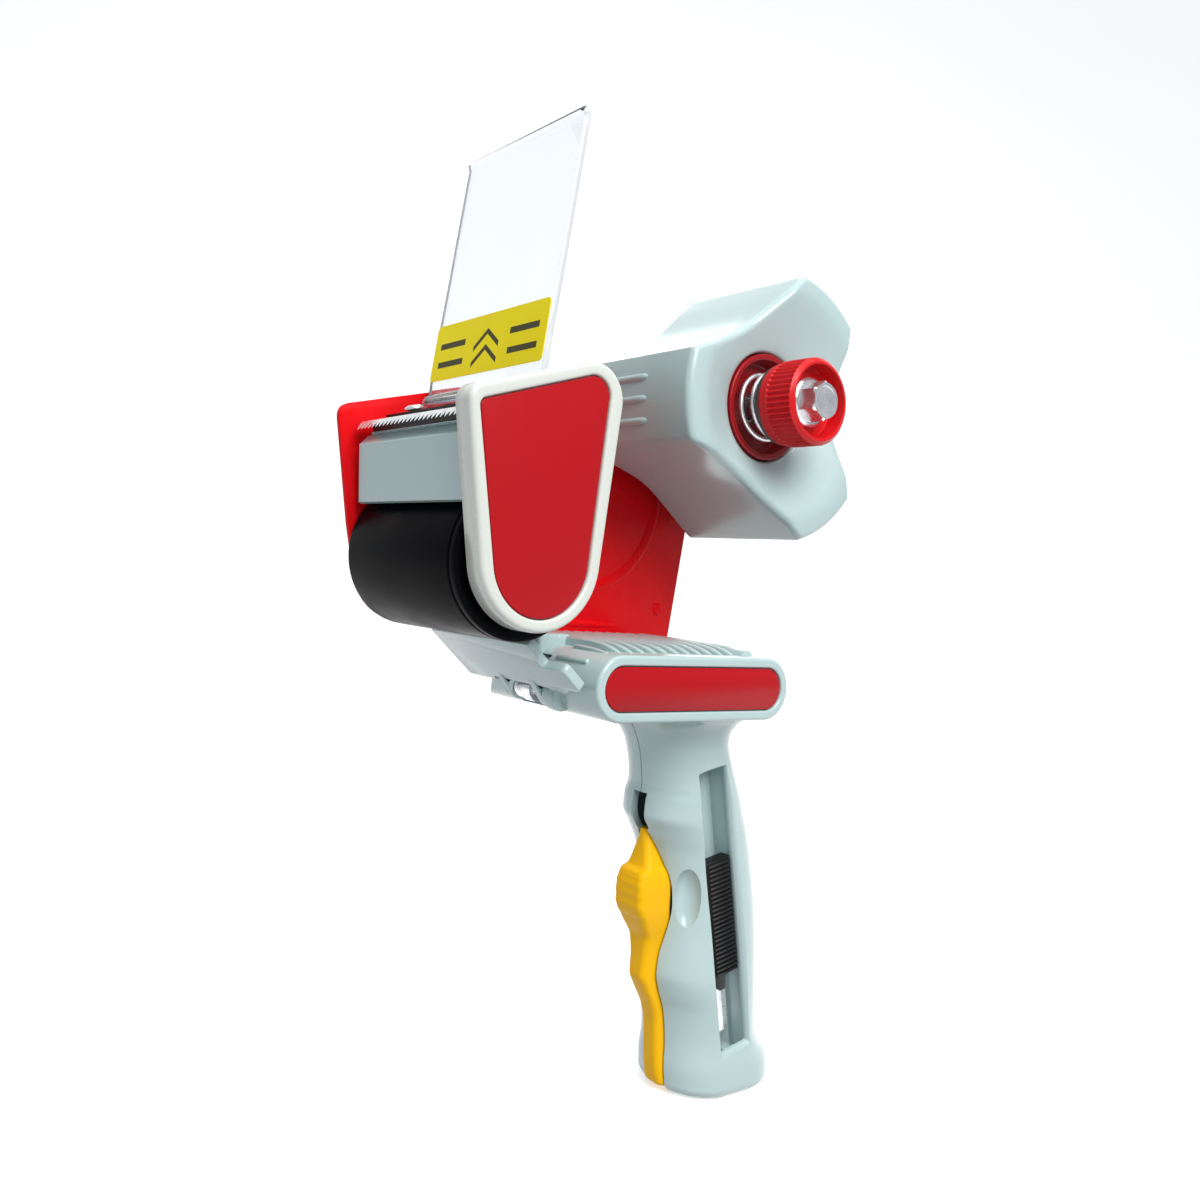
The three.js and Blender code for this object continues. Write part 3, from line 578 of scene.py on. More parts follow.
def deck_plan(inset, z0, z1):
    """Keeps the deck inside its plan, whose far front corner is rounded off."""
    far, near = DECK["far"] - 2, DECK["near"] + 2
    front = -70 + inset
    corners = rounded([(far, 10), (far + inset, front, 24 - inset), (near, front), (near, 10)], 16)
    rings = [[(x, y, z) for x, y in corners] for z in (z0, z1)]
    return skinned("plan", rings)


def build_deck():
    far, near, r = DECK["far"], DECK["near"], DECK["radius"]
    edge, lip, recess = 1.0, 0.5, 5.95
    rings = [deck_ring(far, r - 0.25), deck_ring(far + 0.25, r)]
    rings += [deck_ring(near - edge + s, r - edge + c) for c, s in arc(edge, 4)]
    rings += [deck_ring(near - lip + c, recess + lip - s) for c, s in arc(lip, 3)]
    rings.append(deck_ring(near - 1.6, recess))
    body = skinned("deck_shell", rings)
    body = boolean(body, [deck_plan(0, -95, -65)], "INTERSECT")
    inner = r - DECK["wall"]
    hollow = skinned("hollow", [deck_ring(far - 1, inner), deck_ring(near - 3.5, inner)])
    hollow = boolean(hollow, [deck_plan(DECK["wall"], -95, -65)], "INTERSECT")
    body = boolean(body, [
        hollow,
        bar("room", 5.4, -8.6, 7.8, FLAP["y"], FLAP["z"], 48),
        block("mouth", -3.2, 5.4, -76, -60, -88, -74.8),
        block("slot", 1.4, 5.4, -16, 1, -95, -84),
    ])
    ribs = [deck_rib(0 if i == 10 else -22, -15 - 4.2 * i, 2.0) for i in range(DECK["ribs"])]
    ribs.append(deck_rib(-22, -9, 6.0))
    ribs.append(deck_rib(9, -61.3, 1.6, 1.0))
    nose = tilt_frame(DECK["y"] - DECK["run"] - 6.2, DECK["z"] + 6.0, 45)
    ribs.append(rounded_block(0.5, 8, 20, -0.7, 0.7, -1, 0.7, nose))
    ribs.append(rounded_block(1.1, far, 0.8, -61, -56, -73.4, -69.5))
    ribs.append(rounded_block(1.1, -12, 0.8, -67, -60, -77.4, -69.5))
    for x0, x1, r in ((-10.2, -8.6, 3.4), (7.8, 11.5, 4.4)):
        lug = [(x0, 0), (x0, r), (x1, r), (x1, 0)]
        ribs.append(solid_turned("lug", lug, FLAP["y"], FLAP["z"], 0.6))
    ribs += [bar("boss", 3.4, far, -12, y, DECK["z"]) for y in DECK_SCREWS]
    return joined(body, ribs)


def rounded_block(width, *sides):
    """A block whose edges are rounded in its own mesh."""
    obj = block("rib", *sides)
    bm = bmesh.new()
    bm.from_mesh(obj.data)
    edges = [e for e in bm.edges if e.is_manifold and e.calc_face_angle(0) > math.radians(CREASE)]
    bmesh.ops.bevel(
        bm, geom=edges, offset=width * MM, segments=4, profile=0.5, affect="EDGES",
        clamp_overlap=True,
    )
    bm.to_mesh(obj.data)
    bm.free()
    obj.data.shade_smooth()
    return obj


place(sharp(build_deck(), 38), "grey", "deck")
end_inlay = along_x("deck_end_inlay", stadium(5.6), DECK["near"] - 1.3, DECK["near"] - 0.4, 0.25)
place(sharp(end_inlay, 60), "inlay", "deck_inlay")


# ---------------------------------------------------------------- near cover
COVER = [(-112.4, -16.2, 4), (-80.6, -11.4, 9), (-93, -50, 17.4)]
INLAY = [(-111.5, -17.6, 2), (-80.8, -10.7, 5), (-93, -50.4, 14)]


def cover_ring(x, by):
    return [(x, y, z) for y, z in wrap(COVER, by)]


def inlay_ring(x, by):
    return [(x, y, z) for y, z in wrap(INLAY, by, like=COVER)]


def build_cover():
    back, face, rim, lip = 26.5, 33, 1.3, 0.7
    start = ((28.2, 2.2), (26.8, 2.2), (back, 1.9), (back, 0.3), (26.8, 0))
    rings = [cover_ring(x, by) for x, by in start]
    rings += [cover_ring(face - rim + s, rim - c) for c, s in arc(rim, 5)]
    rings += [inlay_ring(face - lip + c, -lip + s) for c, s in arc(lip, 4)]
    rings.append(inlay_ring(31, 0))
    bosses = [(ROLLER["y"], ROLLER["z"], 7)] + [(y, z, 4) for y, z in COVER_SCREWS]
    bosses.append((SHIELD["y"], SHIELD["z"], 3.6))
    return joined(skinned("cover_frame", rings), [
        turned("boss", [(28.3, 1.8), (28.3, r), (back, r), (back, 1.8)], y, z, 0.3, 48)
        for y, z, r in bosses
    ])


place(sharp(build_cover(), 50), "pale", "near_cover")
rings = [inlay_ring(31.3, GAP)]
rings += [inlay_ring(32.2 + s, GAP + 0.3 - c) for c, s in arc(0.3, 3)]
place(sharp(skinned("cover_panel", rings), 60), "inlay", "cover_inlay")


# ---------------------------------------------------------------- shield
def shield_sheet():
    """The guard: a thin sheet with rounded top corners along a bowed line, and its hinge barrel."""
    thick, corner = 2.0, 1.2
    line = [
        (-90.9, -9.5), (-90.4, -2), (-89.6, 6), (-88.7, 12), (-88.0, 17), (-87.1, 24),
        (-82.9, 57.6), (-82.7, 59.2), (-83.1, 60.2), (-84.0, 61.0),
    ]
    fine = []
    for i in range(len(line) - 1):
        a, b = Vector(line[i]), Vector(line[i + 1])
        fine += [tuple(a.lerp(b, k / 4)) for k in range(4)]
    fine.append(line[-1])
    half = SHIELD["half"]
    rings = []
    for i, p in enumerate(fine):
        way = (Vector(fine[min(i + 1, len(fine) - 1)]) - Vector(fine[max(i - 1, 0)])).normalized()
        side = Vector((-way.y, way.x))
        edge = max(0.0, corner - (Vector(line[-1]) - Vector(p)).length)
        w = half - (corner - math.sqrt(max(corner**2 - edge * edge, 0)))
        ring = []
        for x, s in ((-w, -0.5), (-w, 0.5), (w, 0.5), (w, -0.5)):
            q = Vector(p) + side * (thick * s)
            ring.append((x, q.x, q.y))
        around = []
        for k in range(4):
            a, b = Vector(ring[k]), Vector(ring[(k + 1) % 4])
            shares = (0.2, 0.8) if k % 2 == 0 else (0.006, 0.5, 0.994)
            around += [tuple(a.lerp(b, share)) for share in shares]
        rings.append(around)
    sheet = skinned("guard_sheet", rings)
    profile = [(-half, 1.8), (-half, 3.2), (half, 3.2), (half, 1.8)]
    return joined(sheet, [turned("barrel", profile, SHIELD["y"], SHIELD["z"], 0.4, 48)])


place(sharp(shield_sheet(), 50), "clear", "shield")


def label_look():
    """Yellow film with two plain dark chevrons between two pairs of short dark bars."""
    look = Look("yellow_film")
    split = look.add("ShaderNodeSeparateXYZ", Vector=look.coords)
    across, up = split.outputs["X"], split.outputs["Z"]

    def distance(a, b):
        return look.calc("ABSOLUTE", look.calc("SUBTRACT", a, b))

    def inside(a, half_a, b, half_b):
        """1 where distance a is under half_a and b is under half_b, in mm."""
        near_a = look.calc("LESS_THAN", a, half_a * MM)
        return look.calc("MULTIPLY", near_a, look.calc("LESS_THAN", b, half_b * MM))

    def chevron(half, low, thick):
        """1 on a plain upright chevron of half width `half` whose legs start at `low`."""
        slope = 0.75
        reach = look.calc("ABSOLUTE", across)
        drop = look.calc("MULTIPLY", reach, slope)
        leg = look.calc("SUBTRACT", (low + half * slope) * MM, drop)
        return inside(reach, half, distance(up, leg), thick)

    mark = look.calc("MAXIMUM", chevron(5.6, 145.6, 0.75), chevron(5.6, 149.9, 0.75))
    for x in (-16, 16):
        for z in (147.4, 152.6):
            bar_mask = inside(distance(across, x * MM), 6.0, distance(up, z * MM), 0.85)
            mark = look.calc("MAXIMUM", mark, bar_mask)
    yellow = look.mix(look.span(look.noise(40, 2), 0, 1), (0.93, 0.76, 0.003), (0.98, 0.83, 0.005))
    look.link(look.mix(mark, yellow, (0.06, 0.055, 0.02)), "Base Color")
    look.link(look.span(look.noise(120, 3), 0.32, 0.5), "Roughness")
    look.bump([(look.noise(700, 2), 0.08)])
    look.set(Specular_IOR_Level=0.2)
    return look.material


LOOKS["label"] = label_look()


def label_film():
    """The label's thin film along the foot of the guard, with rounded corners."""
    rings = []
    tall, corner = 15.8, 1.3
    heights = [corner * (1 - math.cos(math.radians(15 * k))) for k in range(7)]
    for h in heights + [tall - h for h in reversed(heights)]:
        t = h / tall
        y, z = -91.8 + 1.85 * t, -3 + h
        off = max(0.0, corner - h, corner - tall + h)
        w = 25 - corner + math.sqrt(max(corner**2 - off**2, 0))
        rings.append([(-w, y, z), (-w, y + 0.2, z), (w, y + 0.2, z), (w, y, z)])
    return skinned("guard_label", rings)


place(sharp(label_film(), 60), "label", "shield_label")


# ---------------------------------------------------------------- roller
RY, RZ, FAR, NEAR, R = (ROLLER[k] for k in ("y", "z", "far", "near", "radius"))
sleeve = turned("roller_rubber", [
    (FAR, 15.8, 0.2), (FAR, R, 1.2), (NEAR - 3.4, R, 0.3), (NEAR - 3.1, R - 0.35, 0.2),
    (NEAR - 2.6, R - 0.35, 0.2), (NEAR - 2.3, R, 0.4), (NEAR, R, 1.2), (NEAR, 15.8, 0.2),
], RY, RZ, 0.3, 128)
place(sharp(sleeve, 60), "rubber", "roller_sleeve")
core = turned("roller_drum", [
    (FAR + 2, 6.8), (FAR + 2, 15.5), (NEAR - 2, 15.5), (NEAR - 2, 13.2), (NEAR - 8, 12.6),
    (NEAR - 8, 8.6), (NEAR - 2, 8.6), (NEAR - 2, 6.8),
], RY, RZ, 0.4, 96)
place(sharp(core, 50), "black", "roller_core")
for name, x0, x1, f0, f1 in (
    ("near", NEAR - 10, NEAR + 1.2, NEAR - 1.6, NEAR - 0.2),
    ("far", FAR - 0.3, FAR + 10, FAR + 0.2, FAR + 1.6),
):
    profile = [(x0, 3.3), (x0, 6.5), (f0, 6.5), (f0, 8.4), (f1, 8.4), (f1, 6.5), (x1, 6.5)]
    profile.append((x1, 3.3))
    bush = turned(f"roller_sleeve_bush_{name}", profile, RY, RZ, 0.3, 64)
    place(sharp(bush, 50), "black", f"roller_bush_{name}")


def hex_shape(faces):
    """A hexagon whose corners are turned down near x = each face; the bore stays round."""

    def shape(x, r, a):
        if r < HEX * 0.7:
            return r
        flat = HEX * math.cos(math.radians(30)) / math.cos(math.radians((a + 30) % 60 - 30))
        cut = min(abs(x - face) for face in faces)
        return min(flat, HEX * 0.885 + cut * 1.7)

    return shape


def hex_nut(name, x0, x1, y, z, bore):
    """An M6 nut with turned corners and a countersunk bore."""
    steps = 12
    profile = [(x0, bore + 0.7), (x0 + 0.6, bore)]
    profile += [(x0 + (x1 - x0) * k / steps, bore) for k in range(2, steps - 1)]
    profile += [(x1 - 0.6, bore), (x1, bore + 0.7)]
    profile += [(x1 - (x1 - x0) * k / steps, HEX) for k in range(steps + 1)]
    rings = spun(profile, y, z, 72, hex_shape((x0, x1)))
    return sharp(skinned(name, rings, loop=True), 25)


def threaded(name, x0, x1, y, z, start):
    """A shaft along X whose thread runs from `start` to its near end, with a chamfered tip."""
    chamfer, depth, pitch = 0.7, 0.42, 1.0
    count = int((x1 - start) / pitch * 8)
    xs = [x0, x0 + 0.3, start] + [start + (x1 - start) * (i + 1) / count for i in range(count)]

    def shape(x, r, a):
        if x == x0:
            return r - 0.3
        if x > start:
            r -= depth * abs(math.sin(math.pi * (x / pitch + a / 360)))
        return min(r, SHAFT - chamfer + (x1 - x)) if x1 - x < chamfer else r

    return skinned(name, spun([(x, SHAFT) for x in xs], y, z, 40, shape))


place(hex_nut("axle_lock_nut", -35.2, PLATE["outer"] - GAP, RY, RZ, 3.3), "steel", "axle_nut")
place(sharp(threaded("axle_rod", -34, 30, RY, RZ, 27), 40), "steel", "roller_axle")


# ---------------------------------------------------------------- hub
def lobe_radius(degrees):
    """The hub's outline: three round lobes with shallow valleys between them."""
    chord = HUB["radius"] * math.cos(math.radians(60 - HUB["lobe_half"]))
    d = (degrees - HUB["lobe"] + 60) % 120 - 60
    off = abs(d)
    t = (60 - off) / (60 - HUB["lobe_half"])
    valley = chord / math.cos(math.radians(60 - off)) - HUB["dip"] * (1 - t * t)
    blend = max(0.0, min(1.0, (off - HUB["lobe_half"] + 2.5) / 5))
    blend = blend * blend * (3 - 2 * blend)
    lobe = HUB["radius"]
    return lobe * (1 - blend) + min(valley, lobe) * blend


def hub_ring(point):
    """A ring round the hub: `point` gives (x, radius) from the outline's radius at each angle."""
    steps = 216
    ring = []
    for i in range(steps):
        a = 360 * i / steps
        x, r = point(lobe_radius(a))
        ring.append((x, *polar(r, a)))
    return ring


def build_hub():
    half = HUB["half"]

    def face(r):
        """How far out the near face stands at radius r: flat, then sloping into the bowl."""
        return min(half, 15.06 + (r - 16.4) * 0.4643)

    def slope(o, t):
        """A point of the near face, from its outer edge (t = 0) in to the bowl (t = 1)."""
        r = (o - edge) * (1 - t) + 17.0 * t
        return face(r), r

    edge, back = 2.2, 1.6
    bore, sleeve = HUB["bore"], 9.5
    middle = [(14.9, 16.4), (14.4, 16.1), (8.4, 16.1), (8, 15.7), (8, 6.8), (7.7, bore)]
    middle += [(-22.3, bore), (-22.6, 6.7), (-22.6, 9.2), (-22.3, sleeve), (3.6, sleeve), (4, 9.9)]
    points = [lambda o: (-half + 0.4, o - 3.0), lambda o: (-half, o - 2.6)]
    points += [lambda o, c=c, s=s: (-half + back - c, o - back + s) for c, s in arc(back, 5)]
    points += [lambda o, k=k: (-half + back + k * 6.5, o) for k in range(1, 6)]
    points += [
        lambda o, c=c, s=s: (face(o - edge) - edge + s, o - edge + c) for c, s in arc(edge, 6)
    ]
    points += [lambda o, k=k: slope(o, k / 8) for k in range(1, 9)]
    points += [lambda o, p=p: p for p in middle]
    points += [lambda o: (4, o - 3.4), lambda o: (3.6, o - 3.0)]
    hub = skinned("tape_hub", [hub_ring(p) for p in points], loop=True)
    return joined(hub, [
        hub_rib(HUB["lobe"] + 120 * k + side) for k in range(3) for side in (-9, 0, 9)
    ])


def hub_rib(degrees):
    """A round-ended grip rib along X on one lobe."""
    rings = []
    for i in range(13):
        t = i / 12
        x = -9 + 15.5 * t
        k = math.sqrt(max(0.0, 1 - (2 * t - 1) ** 8))
        ring = [
            (1.1 * c * max(k, 0.2), HUB["radius"] - 0.1 + 0.95 * s * k)
            for c, s in arc(1, 8, span=180)
        ]
        ring.append((0, HUB["radius"] - 1))
        a, b = polar(1, degrees)
        rings.append([(x, a * out - b * side, b * out + a * side) for side, out in ring])
    return skinned("rib", rings)


place(sharp(build_hub(), 45), "grey", "hub_body")


cup = turned("brake_cup_ring", [
    (8.3, 4.5), (8.3, 15.6), (15.4, 15.6), (15.4, 13.9), (10.3, 13.3), (10.3, 4.5),
], 0, 0, 0.5, 96)
place(sharp(cup, 45), "deep", "brake_cup")


def coil(name, radius, wire, length, turns, centre, about="X", start=0, flat=0.8):
    """A coil spring of round wire, whose far end lies at `start` degrees.

    `flat` is how far its end turns are flattened: 0 for an even helix.
    """
    rings = []
    count = int(turns * 40)
    for i in range(count + 1):
        t = i / count
        ease = t - math.sin(2 * math.pi * t) * flat / (2 * math.pi) * 0.35
        a = start + 360 * turns * t
        c, s = polar(radius, a)
        x = (length - wire) * (ease - 0.5)
        ring = [
            (x + u, (radius + v) / radius * c, (radius + v) / radius * s)
            for u, v in circle(wire / 2, 12)
        ]
        if about == "Y":
            ring = [(-p[1], p[0], p[2]) for p in ring]
        rings.append([tuple(Vector(p) + Vector(centre)) for p in ring])
    return skinned(name, rings)


spring = coil("drag_spring", 9.6, 1.3, 9.7, 2, (15.5, 0, 0), start=-54, flat=0)
place(spring, "wire", "brake_spring")
profile = [(20.8, 3.3), (20.8, 11.6), (21.9, 11.6), (21.9, 3.3)]
# The washer's reddish near-black steel is painted shade from the red cup round it.
place(sharp(turned("drag_washer", profile, 0, 0, 0.2, 72), 50), "painted_shade_steel", "brake_washer")


def closed_nut():
    """The knob's flanged nut: a hexagon with turned corners and a closed, slightly dished face."""
    profile = [(29.6, 3.3), (29.3, 3.6), (29.3, 6.8), (29.55, 7.1), (30.5, 7.0), (31, 6.3)]
    profile += [(31.1 + 4.7 * k / 8, HEX) for k in range(9)]
    profile += [(35.8, 4.4), (35.7, 4.1), (35.55, 3.4), (35.5, 0.02), (34.2, 0.02), (34.2, 3.3)]
    hexagon = hex_shape((29.3, 35.8))
    rings = spun(profile, 0, 0, 72, lambda x, r, a: hexagon(x, r, a) if r == HEX else r)
    return sharp(skinned("knob_lock_nut", rings, loop=True), 25)


def flute(x, r, a):
    """The knob's grip: 48 rounded flutes over the middle of its rim."""
    if r < 12.0:
        return r
    wave = 0.5 - 0.5 * math.cos(math.radians(a * 48))
    reach = min(1.0, max(0.0, (x - 24.8) / 0.6), max(0.0, (33.1 - x) / 0.5))
    return r - 0.7 * wave * reach


knob_profile = [(22.2, 3.3), (22.2, 11.9), (24.6, 11.9)]
knob_profile += [(24.7 + 8.3 * k / 12, 12.4) for k in range(13)]
knob_profile += [(33.4, 11.8), (34, 11.2), (34, 10.5), (33.6, 10.4), (29, 10.4), (29, 3.3)]
knob = turned("drag_knob", knob_profile, 0, 0, 0.25, 576, flute)
place(sharp(knob, 50), "red", "brake_knob")
place(closed_nut(), "steel", "knob_nut")


def bolt():
    head = hex_nut("hub_bolt", -35, PLATE["outer"] - GAP, 0, 0, 2.0)
    return joined(head, [threaded("shaft", -34.6, 32.6, 0, 0, 24)])


place(sharp(bolt(), 30), "steel", "spindle_bolt")


# ---------------------------------------------------------------- screws
def pan_screw(name, x, y, z, way, length, head=3.0, height=1.8, stand=None):
    """A pan-head screw with a cross recess: its head sits at x, its shank runs along X by `way`."""
    shank, cross, cross_half = 1.5, head * 0.55, 0.32
    outer = x - way * height
    profile = [(outer, 0), (outer, head * 0.55), (x - way * height * 0.45, head * 0.98), (x, head)]
    profile += [(x, shank), (x + way * length, shank), (x + way * length, 0)]
    screw = solid_turned(name, [(a - x, r) for a, r in profile], 0, 0, 0.35, 48)
    lo, hi = sorted((-way * (height + 0.5), -way * (height - height * 0.75)))
    for turn in (0, 90):
        sides = (lo, hi, -cross, cross, -cross_half, cross_half)
        screw = boolean(screw, [block("cross", *sides, tilt_frame(0, 0, turn))])
    move = stand or (lambda p: (p[0] + x, p[1] + y, p[2] + z))
    for v in screw.data.vertices:
        p = Vector(v.co) / MM - HUB_AXIS
        v.co = (Vector(move(tuple(p))) + HUB_AXIS) * MM
    return sharp(screw, 35)


BEHIND = PLATE["outer"] - GAP
for fixing, node, x, places, way, size in (
    ("cover_fixing", "cover_screw", 29.5, COVER_SCREWS, -1, (12, 2.9, 1.2)),
    ("grip_fixing", "handle_screw", -10.9, GRIP_SCREWS, 1, (20,)),
    ("deck_fixing", "deck_screw", BEHIND, [(y, DECK["z"]) for y in DECK_SCREWS], 1, (14,)),
    ("head_fixing", "head_screw", BEHIND, HEAD_SCREWS, 1, (13,)),
):
    for i, (y, z) in enumerate(places, 1):
        place(pan_screw(f"{fixing}_{i}", x, y, z, way, *size), "steel", f"{node}_{i}")

BED = tilt_frame(BLADE["y"], BLADE["z"], BLADE["slope"])
for i, x in enumerate((-15, 15), 1):

    def stand(p, x=x):
        """Stands the screw up on the blade's bed, head outwards."""
        return BED((x + p[1], 8 + p[2], 5.4 - p[0]))

    screw = pan_screw(f"clamp_fixing_{i}", 0, 0, 0, 1, 10, 2.7, 1.2, stand)
    place(screw, "steel", f"blade_screw_{i}")


# ---------------------------------------------------------------- blade
def toothed_blade():
    """The cutter: a thin strip whose front edge is cut into sawteeth that are set downwards."""
    half, teeth = BLADE["half"], BLADE["teeth"]
    pitch = 2 * half / teeth
    rings = []
    for i in range(2 * teeth + 1):
        x = -half + i * pitch / 2
        tip, drop = (-4.7, 1.45) if i % 2 else (-3.3, 0.15)
        section = [(tip, 3.5 - drop), (tip, 3.6 - drop), (-2.6, 3.9), (-2.2, 4.0), (12, 4.0)]
        section += [(12, 3.4), (-2.2, 3.4)]
        rings.append([BED((x, y, z)) for y, z in section])
    return skinned("cutter_strip", rings)


place(sharp(toothed_blade(), 12), "blade", "blade")


def comb():
    """A grey comb of fine upright ribs along the foot of the blade's holder."""
    half, reach, ribs = 0.28, 24.7, 48
    places = [-reach + 2 * reach * i / (ribs - 1) for i in range(ribs)]
    return joined(block("rib_comb", -25, 25, 0.15, 0.5, 0.02, 0.9, BED), [
        block("comb_rib", x - half, x + half, -0.1, 0.2, 0.1, 0.8, BED) for x in places
    ])


comb_strip = comb()
comb_strip.data.materials.append(LOOKS["grey"])
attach(comb_strip, BODY_OF["blade_holder"])


# ---------------------------------------------------------------- flap
FLAP_FRAME = tilt_frame(-69.5, -81.2, 140)


def build_flap():
    """The brake flap: a plate with its outline, drawn in FLAP_FRAME, and two hinge arms."""
    outline = rounded([
        (-25, -0.6, 1), (17, -0.6, 1), (20.8, 1.5, 0.8), (25.2, 1.9, 1.4), (25.4, 10, 1.4),
        (17.4, 9.8, 0.8), (17.4, 12.8, 0.8), (19.2, 16.2, 0.8), (19.2, 18.7, 0.8), (-25, 18.7, 1),
    ], 5)

    def drawn_in(x, y, z, by):
        """A point of the outline at height z, drawn in by `by` towards the plate's middle."""
        return FLAP_FRAME((x - math.copysign(by, x), y - math.copysign(by, y - 9.0), z))

    levels = ((0.0, 0.35), (0.12, 0.12), (0.4, 0.0), (2.3, 0.0), (2.58, 0.12), (2.7, 0.35))
    rings = [[drawn_in(x, y, z, by) for x, y in outline] for z, by in levels]
    flap = skinned("brake_plate", rings)
    arms = ((-8.3, -6.6), (4.9, 7.4))
    rooms = ((-12, arms[0][0]), (arms[1][1], 12), (arms[0][1], arms[1][0]))
    flap = boolean(flap, [bar("room", 5.9, a, b, FLAP["y"], FLAP["z"], 40) for a, b in rooms])
    arm = wrap([(FLAP["y"], FLAP["z"], 3.6), (-72.2, -81, 1.4)], steps=60)
    return joined(flap, [along_x("arm", arm, a, b, 0.3) for a, b in arms])


place(sharp(build_flap(), 35), "grey", "brake_flap")


# ---------------------------------------------------------------- grip
# Rows of (z, front y, back y, half width) from the top down.
GRIP_ROWS = [
    (-78, -38, 4, 21), (-90, -35, 3.4, 20), (-92.5, -32.4, 2.6, 17.6), (-96, -29.8, 1.8, 15.4),
    (-100.5, -27.6, 2.6, 14.4), (-106, -26.2, 4.8, 14.3), (-112, -25.4, 7.2, 14.4),
    (-116, -26.4, 8.8, 14.5), (-120, -26.6, 10.2, 14.5), (-124, -24.4, 11.8, 14.5),
    (-130, -21.4, 13.6, 14.5), (-138, -19, 15.6, 14.5), (-146, -18, 17.2, 14.5),
    (-154, -18.2, 18.4, 14.5), (-160, -19, 19, 14.5), (-165, -19.2, 19.4, 14.5),
    (-170, -17.8, 19.7, 14.5), (-176, -15.4, 20, 14.5), (-183, -14.2, 20.6, 14.5),
    (-188, -13.8, 23.2, 14.6), (-192, -13.8, 26.2, 14.8), (-197, -13.2, 26.8, 14.8),
]
TRIGGER_ROWS = [
    (-124.5, -24, -20.4, 1.4), (-130, -24.6, -17, 3.1), (-135, -25.6, -16.4, 4.6),
    (-136.4, -27.6, -16.4, 5.2), (-141, -28.6, -17, 5.8), (-146, -28.4, -17, 5.8),
    (-151, -25.8, -15.6, 5.2), (-156, -23.4, -14, 4.2), (-161, -23.2, -13.6, 3.6),
    (-166, -23.4, -13.2, 3.4), (-170, -21.6, -11.6, 3.3), (-175, -18.6, -9, 3.3),
    (-180, -16.8, -7.6, 3.3), (-188, -16, -4, 3.3), (-193, -15.4, -3.2, 3.4),
    (-198.4, -14.2, -6.4, 3.6),
]
TRIGGER_FOOT = TRIGGER_ROWS[-1][0]


def row_at(rows, z):
    """The front, back and half width that the rows give at height z."""
    ordered = rows[::-1]
    zs = [r[0] for r in ordered]
    return [curve_through(zs, [r[k] for r in ordered], z) for k in (1, 2, 3)]


def section(z, front, back, half, radius, steps=14):
    """A rounded rectangle round the grip at one height."""
    r = min(radius, half - 0.1, (back - front) / 2 - 0.1)
    x, near, far = half - r, front + r, back - r
    corners = ((x, far, 0), (-x, far, 90), (-x, near, 180), (x, near, 270))
    return [(x + c, y + s, z) for x, y, start in corners for c, s in arc(r, steps, start)]


def half_section(points, side):
    """The part of a section on one side of the split plane, closed along it."""
    quarter = len(points) // 4
    kept = points[3 * quarter:] + points[:quarter] if side > 0 else points[quarter:3 * quarter]
    edge = SPLIT + 0.02
    kept = [(max(x * side, edge) * side, y, z) for x, y, z in kept]
    ends = [(SPLIT * side, p[1], p[2]) for p in (kept[0], kept[-1])]
    return [ends[0], *kept, ends[1]]


def grooved(points, z, front):
    """Draws the front of a section in a little between the finger ridges."""
    zs = [-198, -190, -184, -176, -168, -160, -150, -140, -131, -124, -118, -108, -100, -70]
    depths = [0.0, 0.05, 0.09, 0.05, 0.0, 0.03, 0.05, 0.055, 0.065, 0.015, 0.0, 0.03, 0.0, 0.0]
    depth = curve_through(zs, depths, min(max(z, -198), -70))
    middle = 3.0
    out = []
    for x, y, height in points:
        share = max(0.0, min(1.0, (middle - y) / (middle - front)))
        out.append((x * (1 - depth * share * (2 - share)), y, height))
    return out


def heights(low, high, step):
    """Heights from low up to high, at equal steps."""
    z = low
    while z <= high:
        yield z
        z += step


def grip_half(side):
    rings = []
    foot, top, radius = -197, -78, 14
    front, back, half = row_at(GRIP_ROWS, foot)
    for c, s in arc(1, 7, 90, -90):
        inset = 3.0 * (1 - c)
        sizes = (front + inset, back - inset * 1.1, half - inset * 0.7)
        rings.append(half_section(section(foot - 2.8 * s, *sizes, radius), side))
    for z in heights(-196.4, top, 0.8):
        front, back, half = row_at(GRIP_ROWS, z)
        rings.append(half_section(grooved(section(z, front, back, half, radius), z, front), side))
    return skinned("grip_half", rings)


def grip_hollow(side):
    """The room inside a shell, whose walls are kept off the scoop and the knife's channel."""
    wall = 2.4
    rings = []
    for z in heights(-188.0, -77, 3):
        front, back, half = row_at(GRIP_ROWS, min(z, -78))
        rings.append(section(z, front + wall, back - wall, half - wall, 11.5, 8))
    hollow = skinned("grip_hollow", rings)
    reach = block("reach", -40, 40 if side < 0 else 5.2, -60, 60, -210, -60)
    hollow = boolean(hollow, [reach], "INTERSECT")
    return boolean(hollow, [scoop(side, 1.2)])


def scoop(side, grow=0.0):
    """The hollow beside the trigger that lets a finger reach round it."""
    radii = (4.4 + grow, 4.4 + grow, 8.8 + grow)
    return ellipsoid("scoop", (side * 11.0, -15.4, -143), radii)


def trigger_room():
    """The slot that the trigger stands and swings in, open to the front."""
    rings = []
    for z in heights(-204.0, -113.6, 0.9):
        if z < TRIGGER_FOOT:
            back, half = -6.0, 3.7
        elif z > -124.4:
            back, half = -14, 2.2
        else:
            _, back, half = row_at(TRIGGER_ROWS, z)
        sweep = max(0.0, z + 192) * 0.1
        rings.append(section(z, -45, back + 0.8 + sweep, half + 0.5, 1.6, 3))
    return skinned("trigger_room", rings)


SLOT = tilt_frame(KNIFE["y"], KNIFE["z"], KNIFE["tilt"])


